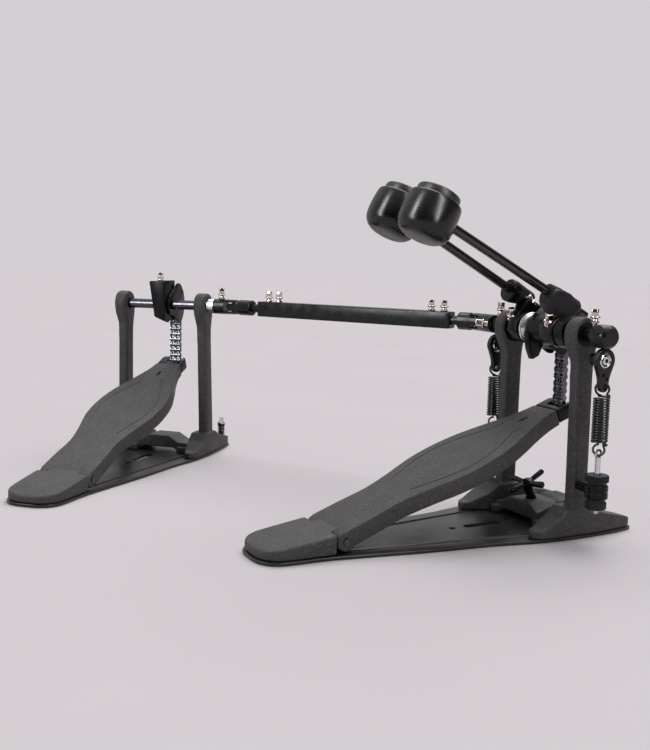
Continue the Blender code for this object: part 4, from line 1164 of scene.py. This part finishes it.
def drive_bolts():
    """The key bolts that fix the link, the yokes, the collars and the beater holders."""
    sleeve_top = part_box("link_sleeve")[1].z - SHAFT_HEIGHT
    far = [LINK @ standing(x, 0, sleeve_top) for x in (0.036, 0.05)]
    near = [LINK @ standing(x, 0, sleeve_top, turn=8) for x in (0.2375, 0.251)]
    key_bolts("sleeve_bolts", far + near, "link", height=0.0112)
    yoke_bolt = SLAVE @ standing(0.0735, 0, SHAFT_HEIGHT + 0.0084)
    key_bolts("slave_yoke_bolt", [yoke_bolt], "slave_drive")
    collar_bolt = standing(0.069, 0, SHAFT_HEIGHT + 0.01, turn=35)
    key_bolts("collar_bolt", [collar_bolt], "right_drive", height=0.012)
    cam_bolt = SLAVE @ standing(-0.002, -0.005, SHAFT_HEIGHT + 0.027, turn=30)
    key_bolts("slave_cam_bolt", [cam_bolt], "slave_drive", height=0.0098)
    crank_bolt = standing(-0.0545, -0.001, SHAFT_HEIGHT + 0.009, turn=10)
    hub_bolt = leaning((-0.0292, -0.0085, SHAFT_HEIGHT + 0.0062), (0.3, -0.25, 0.92))
    arm_bolt = SHAFT @ leaning((-0.0248, 0.0118, 0.0186), (0, -0.5, 0.86), 40)
    yoke_bolt = leaning((-0.0665, -0.006, SHAFT_HEIGHT), (-0.62, -0.78, 0.08))
    key_bolts("left_hub_bolts", [crank_bolt, hub_bolt, arm_bolt, yoke_bolt], "left_drive", height=0.0118)
    fin_bolt = leaning((0.0232, -0.01, SHAFT_HEIGHT + 0.0052), (0.42, -0.3, 0.86))
    tail_bolt = leaning((0.0212, 0.017, SHAFT_HEIGHT + 0.0135), (0.15, 0.92, 0.42))
    key_bolts("right_hub_bolts", [fin_bolt], "right_drive", height=0.0118)
    key_bolts("fin_bolt", [tail_bolt], "right_drive", "machined", 0.0095)


# ---------- drive train ----------


def polar(points):
    """(radius, degrees) pairs as (y, z)."""
    return [(r * math.cos(math.radians(a)), r * math.sin(math.radians(a))) for r, a in points]


CAM_EDGE = [(0.0305, a) for a in (-48, -34, -20, -6, 8, 22, 36, 48)]
CAM_EDGE += [(0.029, 58), (0.0255, 68), (0.02, 74), (0.014, 98), (0.0118, 140), (0.011, 180)]
CAM_EDGE += [(0.0118, 212), (0.0125, 232), (0.0125, 252), (0.0128, 268), (0.014, 282)]
CAM_EDGE += [(0.019, 294), (0.0265, 304)]
CAM_LUG = [(-0.0135, -0.004), (-0.0105, -0.018), (-0.0062, -0.0272), (0.0008, -0.024), (0.0075, -0.009)]
CAM_HEAD = [(-0.0115, 0.0255), (-0.0112, 0.027), (0.0088, 0.0282), (0.0088, -0.0195), (-0.005, -0.014)]


def cam(side, body, place):
    """The flanged cam with the chain's first pin, and with the main's lug or the slave's clamp block."""
    low, high = (corner.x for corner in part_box("main_cam"))
    spot = place @ SHAFT
    hub = [(0, low), (0.0098, low), (0.0098, high), (0, high)]
    shape = solid(side + "_cam_hub", lathe, hub, spot @ TO_X, 48)
    plates = []
    if side == "main":
        lug = solid("lug", prism, CAM_LUG, low, low + 0.0068, spot @ YZ_TO_X)
        plates.append(round_edges(lug, 0.0012, 2))
    for start, end, limit in (
        (low, low + 0.0017, 1.0),
        (high - 0.0017, high, 1.0),
        (low + 0.0008, high - 0.0008, 0.0195),
    ):
        edge = polar([(min(r, limit), a) for r, a in CAM_EDGE])
        plate = solid("plate", prism, curved(edge + edge[:1], 5)[:-1], start, end, spot @ YZ_TO_X)
        plates.append(round_edges(plate, 0.0005, 2))
    ends = [(x, CHAIN_PIN.y, CHAIN_PIN.z - SHAFT_HEIGHT) for x in (low - 0.0004, high + 0.0004)]
    pin = solid("pin", rod, *ends, 0.0016, spot)
    plates.append(pin)
    if side == "slave":
        head = solid("head", prism, CAM_HEAD, -0.0105, 0.0155, spot @ XZ_TO_Y)
        plates.append(round_edges(head, 0.0012, 3))
    carve(shape, plates, "UNION")
    bore = solid("bore", rod, (-0.03, 0, 0), (0.03, 0, 0), SHAFT_RADIUS + CLEARANCE, spot)
    carve(shape, [bore])
    finish_piece(shape, "machined", body, [side + "_cam"])


FIN_EDGE = [
    (0.032, 0.016), (0.033, 0.006), (0.0305, -0.004), (0.027, -0.0078), (0.019, -0.0072),
    (0.011, -0.0118), (0.002, -0.0132), (-0.008, -0.0105), (-0.013, -0.0015),
    (-0.0105, 0.008), (-0.001, 0.0132), (0.0095, 0.01), (0.0125, 0.015), (0.015, 0.0225),
    (0.0215, 0.0255), (0.029, 0.024),
]


def holder_holes(place, shaft_bore):
    """A cutter with the shaft's bore and the beater rod's bore."""
    holes = bmesh.new()
    rod(holes, (-0.03, 0, 0), (0.03, 0, 0), shaft_bore, place)
    rod(holes, on_rod(-0.04), on_rod(0.05), ROD_BORE, place)
    return to_object("holes", holes)


def right_holder():
    """The broad faceted fin that carries the right beater's rod, with its hub."""
    low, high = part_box("right_beater_holder")
    place = arm_place("right")
    middle = pivot("right_beater_swing").x
    fin = solid("right_fin", prism, FIN_EDGE, low.x - middle, high.x - middle, place @ YZ_TO_X)
    fin = round_edges(fin, 0.0016, 1, 30)
    side = [(0, -0.011), (0.0066, -0.011), (0.0082, -0.008), (0.0082, 0.015), (0.0068, 0.0255)]
    barrel = solid("barrel", lathe, side + [(0, 0.0255)], place @ Matrix.Translation(on_rod(0)), 40)
    start, end = ((0.0024, BEATER_OFFSET - 0.004, height) for height in (-0.0125, 0))
    lug = solid("lug", rod, start, end, 0.0042, place, edge=0.0006)
    carve(fin, [barrel, lug], "UNION")
    carve(fin, [holder_holes(place, SHAFT_RADIUS + CLEARANCE)])
    finish_piece(fin, "moulded", "right_drive", ["right_beater_holder"])


ARM_EDGE = [
    (0.0236, -0.0112), (0.011, -0.013), (0.002, -0.0138), (-0.0085, -0.0105), (-0.0128, 0),
    (-0.0085, 0.0105), (0.002, 0.0138), (0.011, 0.0128), (0.0236, 0.01),
]


CONE_SIDE = [(0, -0.0245), (0.0048, -0.0245), (0.0066, -0.0225), (0.0101, -0.003), (0, -0.003)]
CROWN_SIDE = [(0, -0.005), (0.009, -0.0036), (0.0103, -0.0028), (0.0105, -0.002), (0.0105, 0.0036)]
CROWN_SIDE += [(0.0098, 0.0046), (0, 0.005)]


def left_holder():
    """The cone that carries the left beater's rod, and the block that clamps it to the hub."""
    place = arm_place("left")
    middle = pivot("left_beater_swing").x
    start = -0.0309 - middle
    end = -0.0186 - middle
    block = solid("left_clamp_block", prism, ARM_EDGE, start, end, place @ YZ_TO_X)
    block = round_edges(block, 0.0012, 2)
    neck = solid("neck", box, (-0.002, 0.015, -0.006), (start + 0.004, 0.023, 0.009), place)
    carve(block, [round_edges(neck, 0.0008, 1)], "UNION")
    carve(block, [holder_holes(place, 0.0088)])
    finish_piece(block, "machined", "left_drive", ["left_beater_holder"])
    spot = place @ Matrix.Translation((0, BEATER_OFFSET - 0.0006, 0.0205))
    spot = spot @ Matrix.Rotation(math.radians(9), 4, "X")
    cone = ("left_cone", CONE_SIDE, "moulded")
    crown = ("left_cone_crown", CROWN_SIDE, "machined")
    for name, side, look in (cone, crown):
        shape = solid(name, lathe, side, spot, 56)
        carve(shape, [solid("bore", rod, on_rod(-0.04), on_rod(0.05), ROD_BORE, place)])
        finish_piece(shape, look, "left_drive", (), math.radians(20))


def hubs():
    """The left hub with its bright race, and the discs of the right hub."""
    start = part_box("left_hub")[0].x
    side = [(0, start), (SHAFT_RADIUS, start), (SHAFT_RADIUS, -0.0312), (0.0085, -0.0308), (0.0085, -0.0184)]
    side += [(0.0132, -0.018), (0.014, -0.0172), (0.014, -0.0148), (0.0132, -0.0142), (0.0124, -0.0142)]
    side += [(0.0124, -0.0126), (0.0136, -0.0122), (0.0136, -0.0116), (0.009, -0.0112), (0, -0.0112)]
    hub = solid("left_hub_discs", lathe, side, SHAFT @ TO_X, 72)
    finish_piece(hub, "machined", "left_drive", ["left_hub"])
    side = [(0.0068, -0.011), (0.014, -0.011), (0.0143, -0.0106), (0.0143, -0.0098), (0.0138, -0.0092)]
    side += [(0.0131, -0.0091), (0.0128, -0.0086), (0.0098, -0.0064), (0.0068, -0.0062)]
    race = solid("left_hub_race", lathe, side, SHAFT @ TO_X, 72, True)
    finish_piece(race, "aluminium", "left_drive")
    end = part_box("main_shaft")[1].x
    side = [(0, -0.0104), (SHAFT_RADIUS, -0.0104), (SHAFT_RADIUS, 0.0283), (0.0136, 0.0285), (0.0142, 0.0291)]
    side += [(0.0142, 0.0322), (0.0128, 0.0328), (0.0128, 0.0352), (0.0142, 0.0358), (0.0142, 0.0449)]
    side += [(0.0136, 0.0455), (SHAFT_RADIUS, 0.0457), (SHAFT_RADIUS, end - 0.0006), (0.0049, end), (0, end)]
    shaft = solid("right_hub_discs", lathe, side, SHAFT @ TO_X, 72)
    finish_piece(shaft, "machined", "right_drive", ["main_shaft"])


def yoke(name, place, sign, collar, across, half, body, replaces, run=None):
    """A fork with round ears on a collar, seen from the joint's centre; run is the end of its rod."""
    start, end = collar
    step = sign * 0.0007
    side = [(0, start), (0.008, start), (0.0086, start + step), (0.0086, end - step), (0.0079, end)]
    fork = solid(name, lathe, side + [(0, end)], place @ TO_X, 48)
    tip = -sign * 0.0046
    inside = start + sign * 0.003
    side = [(0, tip), (0.0078, tip), (0.0084, tip + step), (0.0084, inside), (0, inside)]
    ears = solid("ears", lathe, side, place @ TO_X, 48)
    turn = Matrix.Rotation(math.radians(90 if across == "Y" else 0), 4, "X")
    limit = solid("limit", box, (-0.03, -half, -0.03), (0.03, half, 0.03), place @ turn)
    carve(ears, [limit], "INTERSECT")
    carve(fork, [ears], "UNION")
    depth = abs(start) + 0.0007
    room = solid("room", box, (-depth, -0.03, -0.0051), (depth, 0.03, 0.0051), place @ turn)
    carve(fork, [room])
    if run:
        bar = solid("run", rod, (end - sign * 0.002, 0, 0), (run, 0, 0), 0.0046, place, edge=0.0005)
        carve(fork, [bar], "UNION")
    finish_piece(round_edges(fork, 0.0004, 2), "anodised", body, [replaces])


SLEEVE_START = 0.027
SLEEVE_END = 0.2624
SLEEVE_HALF_Y = 0.0072
SLEEVE_WALL = 0.0016
GROOVE_DEPTH = 0.0003


def link_sleeve():
    """The square tube that slides over the slave's rod, open at both ends."""
    low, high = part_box("link_sleeve")
    half_z = (high.z - low.z) / 2

    def bar(mesh, start, end, inset=0):
        """Adds a square bar along the link, inset from the tube's sides."""
        half_y = SLEEVE_HALF_Y - inset
        box(mesh, (start, -half_y, inset - half_z), (end, half_y, half_z - inset), LINK)

    tube = solid("square_tube", bar, SLEEVE_START, SLEEVE_END)
    tube = round_edges(tube, 0.0013, 3)
    hollow = bmesh.new()
    bar(hollow, SLEEVE_START - 0.01, SLEEVE_START + 0.003, SLEEVE_WALL)
    bar(hollow, SLEEVE_END - 0.003, SLEEVE_END + 0.01, SLEEVE_WALL)
    rod(hollow, (SLEEVE_START - 0.02, 0, 0), (SLEEVE_END + 0.02, 0, 0), 0.0049, LINK)
    carve(tube, [round_edges(to_object("hollow", hollow), 0.0006, 2)])
    for x in (SLEEVE_START + 0.0052, SLEEVE_END - 0.0052):
        groove = solid("groove", box, (x, -0.02, -0.02), (x + 0.0005, 0.02, 0.02), LINK)
        carve(groove, [solid("inside", bar, x - 0.01, x + 0.01, GROOVE_DEPTH)])
        carve(tube, [groove])
    finish_piece(tube, "anodised", "link", ["link_sleeve"])


def cross(name, place, body, replaces):
    """The spider of a universal joint, with four pins."""
    spider = solid(name, box, (-0.004, -0.004, -0.004), (0.004, 0.004, 0.004), place)
    spider = round_edges(spider, 0.0009, 3)
    pins = bmesh.new()
    rod(pins, (0, 0, -0.008), (0, 0, 0.008), 0.0022, place, sides=20, edge=0.0003)
    rod(pins, (0, -0.008, 0), (0, 0.008, 0), 0.0021, place, sides=20, edge=0.0003)
    carve(spider, [to_object("pins", pins)], "UNION")
    finish_piece(spider, "machined", body, [replaces])


def universal_joints():
    main = Matrix.Translation(pivot("link_spin"))
    slave = SLAVE @ Matrix.Translation((0.0885, 0, SHAFT_HEIGHT))
    far = LINK @ Matrix.Translation((0.3009, 0, 0))
    yoke("main_shaft_yoke", main, 1, (0.009, 0.0284), "Z", 0.005, "left_drive", "main_uj_yoke")
    yoke("main_link_yoke", LINK, 1, (0.0058, 0.019), "Y", 0.0036, "link", "link_main_rod", 0.13)
    yoke("slave_link_yoke", far, -1, (-0.0092, -0.027), "Y", 0.0042, "slave_rod", "link_slave_rod", -0.16)
    yoke("slave_shaft_yoke", slave, -1, (-0.0092, -0.0229), "Z", 0.0042, "slave_drive", "slave_uj_yoke")
    link_sleeve()
    cross("main_spider", LINK, "link", "main_uj_cross")
    cross("slave_spider", far, "slave_rod", "slave_uj_cross")


SPUR_TURNS = 7
SPUR_STEPS = 16


def spur_hardware():
    """The small spring and the nut round each spur."""
    count = SPUR_TURNS * SPUR_STEPS
    for hand, x in (("right", 0.049), ("left", -0.049)):
        place = SLAVE @ Matrix.Translation((x, 0.0575, 0))
        points = []
        for i in range(count + 1):
            angle = 2 * math.pi * i / SPUR_STEPS
            height = 0.0135 + 0.0115 * i / count
            points.append((0.0038 * math.cos(angle), 0.0038 * math.sin(angle), height))
        coil = solid(f"spur_coil_{hand}", wire, points, 0.0005, place, 6)
        finish_piece(coil, "spring", f"spur_{hand}")
        nut = solid(f"spur_nut_{hand}", prism, arc((0, 0), 0.005, 0, 300, 6), 0.0252, 0.0282, place)
        finish_piece(round_edges(nut, 0.0004, 2), "machined", f"spur_{hand}")


CAD_LOOKS = {
    "machined_black": "machined",
    "textured_black": "cast",
    "sheet_black": "sheet",
    "gloss_black": "gloss",
    "beater_black": "barrel",
    "beater_face": "face",
    "chrome": "chrome",
    "aluminium": "aluminium",
    "dark_chrome": "shaft",
    "chain_steel": "chain",
    "spring_black": "spring",
}
DARKER = {
    "main_bearing_left": "machined",
    "main_bearing_right": "machined",
    "slave_shaft": "shaft",
    "main_hinge_pin": "shaft",
    "slave_hinge_pin": "shaft",
    "hoop_clamp_jaw": "moulded",
}


def carry_over():
    """The CAD nodes that stay get their look and smooth faces, and are welded."""
    for node in frame["nodes"].values():
        slot = node.data.materials[0].name.split(".")[0]
        look = DARKER.get(node.name) or CAD_LOOKS[slot]
        node.data.materials.clear()
        node.data.materials.append(LOOKS[look])
        if "custom_normal" in node.data.attributes:
            node.data.attributes.remove(node.data.attributes["custom_normal"])
        node.data.shade_smooth()
        weld = node.modifiers.new("welded", "WELD")
        weld.merge_threshold = 0.000002
        split = node.modifiers.new("crisp_edges", "EDGE_SPLIT")
        split.split_angle = SHARP


# ---------- the whole object ----------

camera()
stage()
light()
carry_over()
for side, place in PEDALS.items():
    base_plate(side, place)
    heel_plate(side, place)
    crossbar(side, place)
    footboard(side, place)
    toe_bracket(side, place)
    roller_chain(side, place)
    for hand in ("right", "left"):
        post(side, hand, place)
for hand in ("right", "left"):
    beater(hand)
    coil_spring(hand)
    spring_hardware(hand)
    swivel_link(hand)
right_crank()
end_cap()
wing_bolt()
drive_bolts()
cam("main", "right_drive", MAIN)
cam("slave", "slave_drive", SLAVE)
right_holder()
left_holder()
hubs()
universal_joints()
spur_hardware()
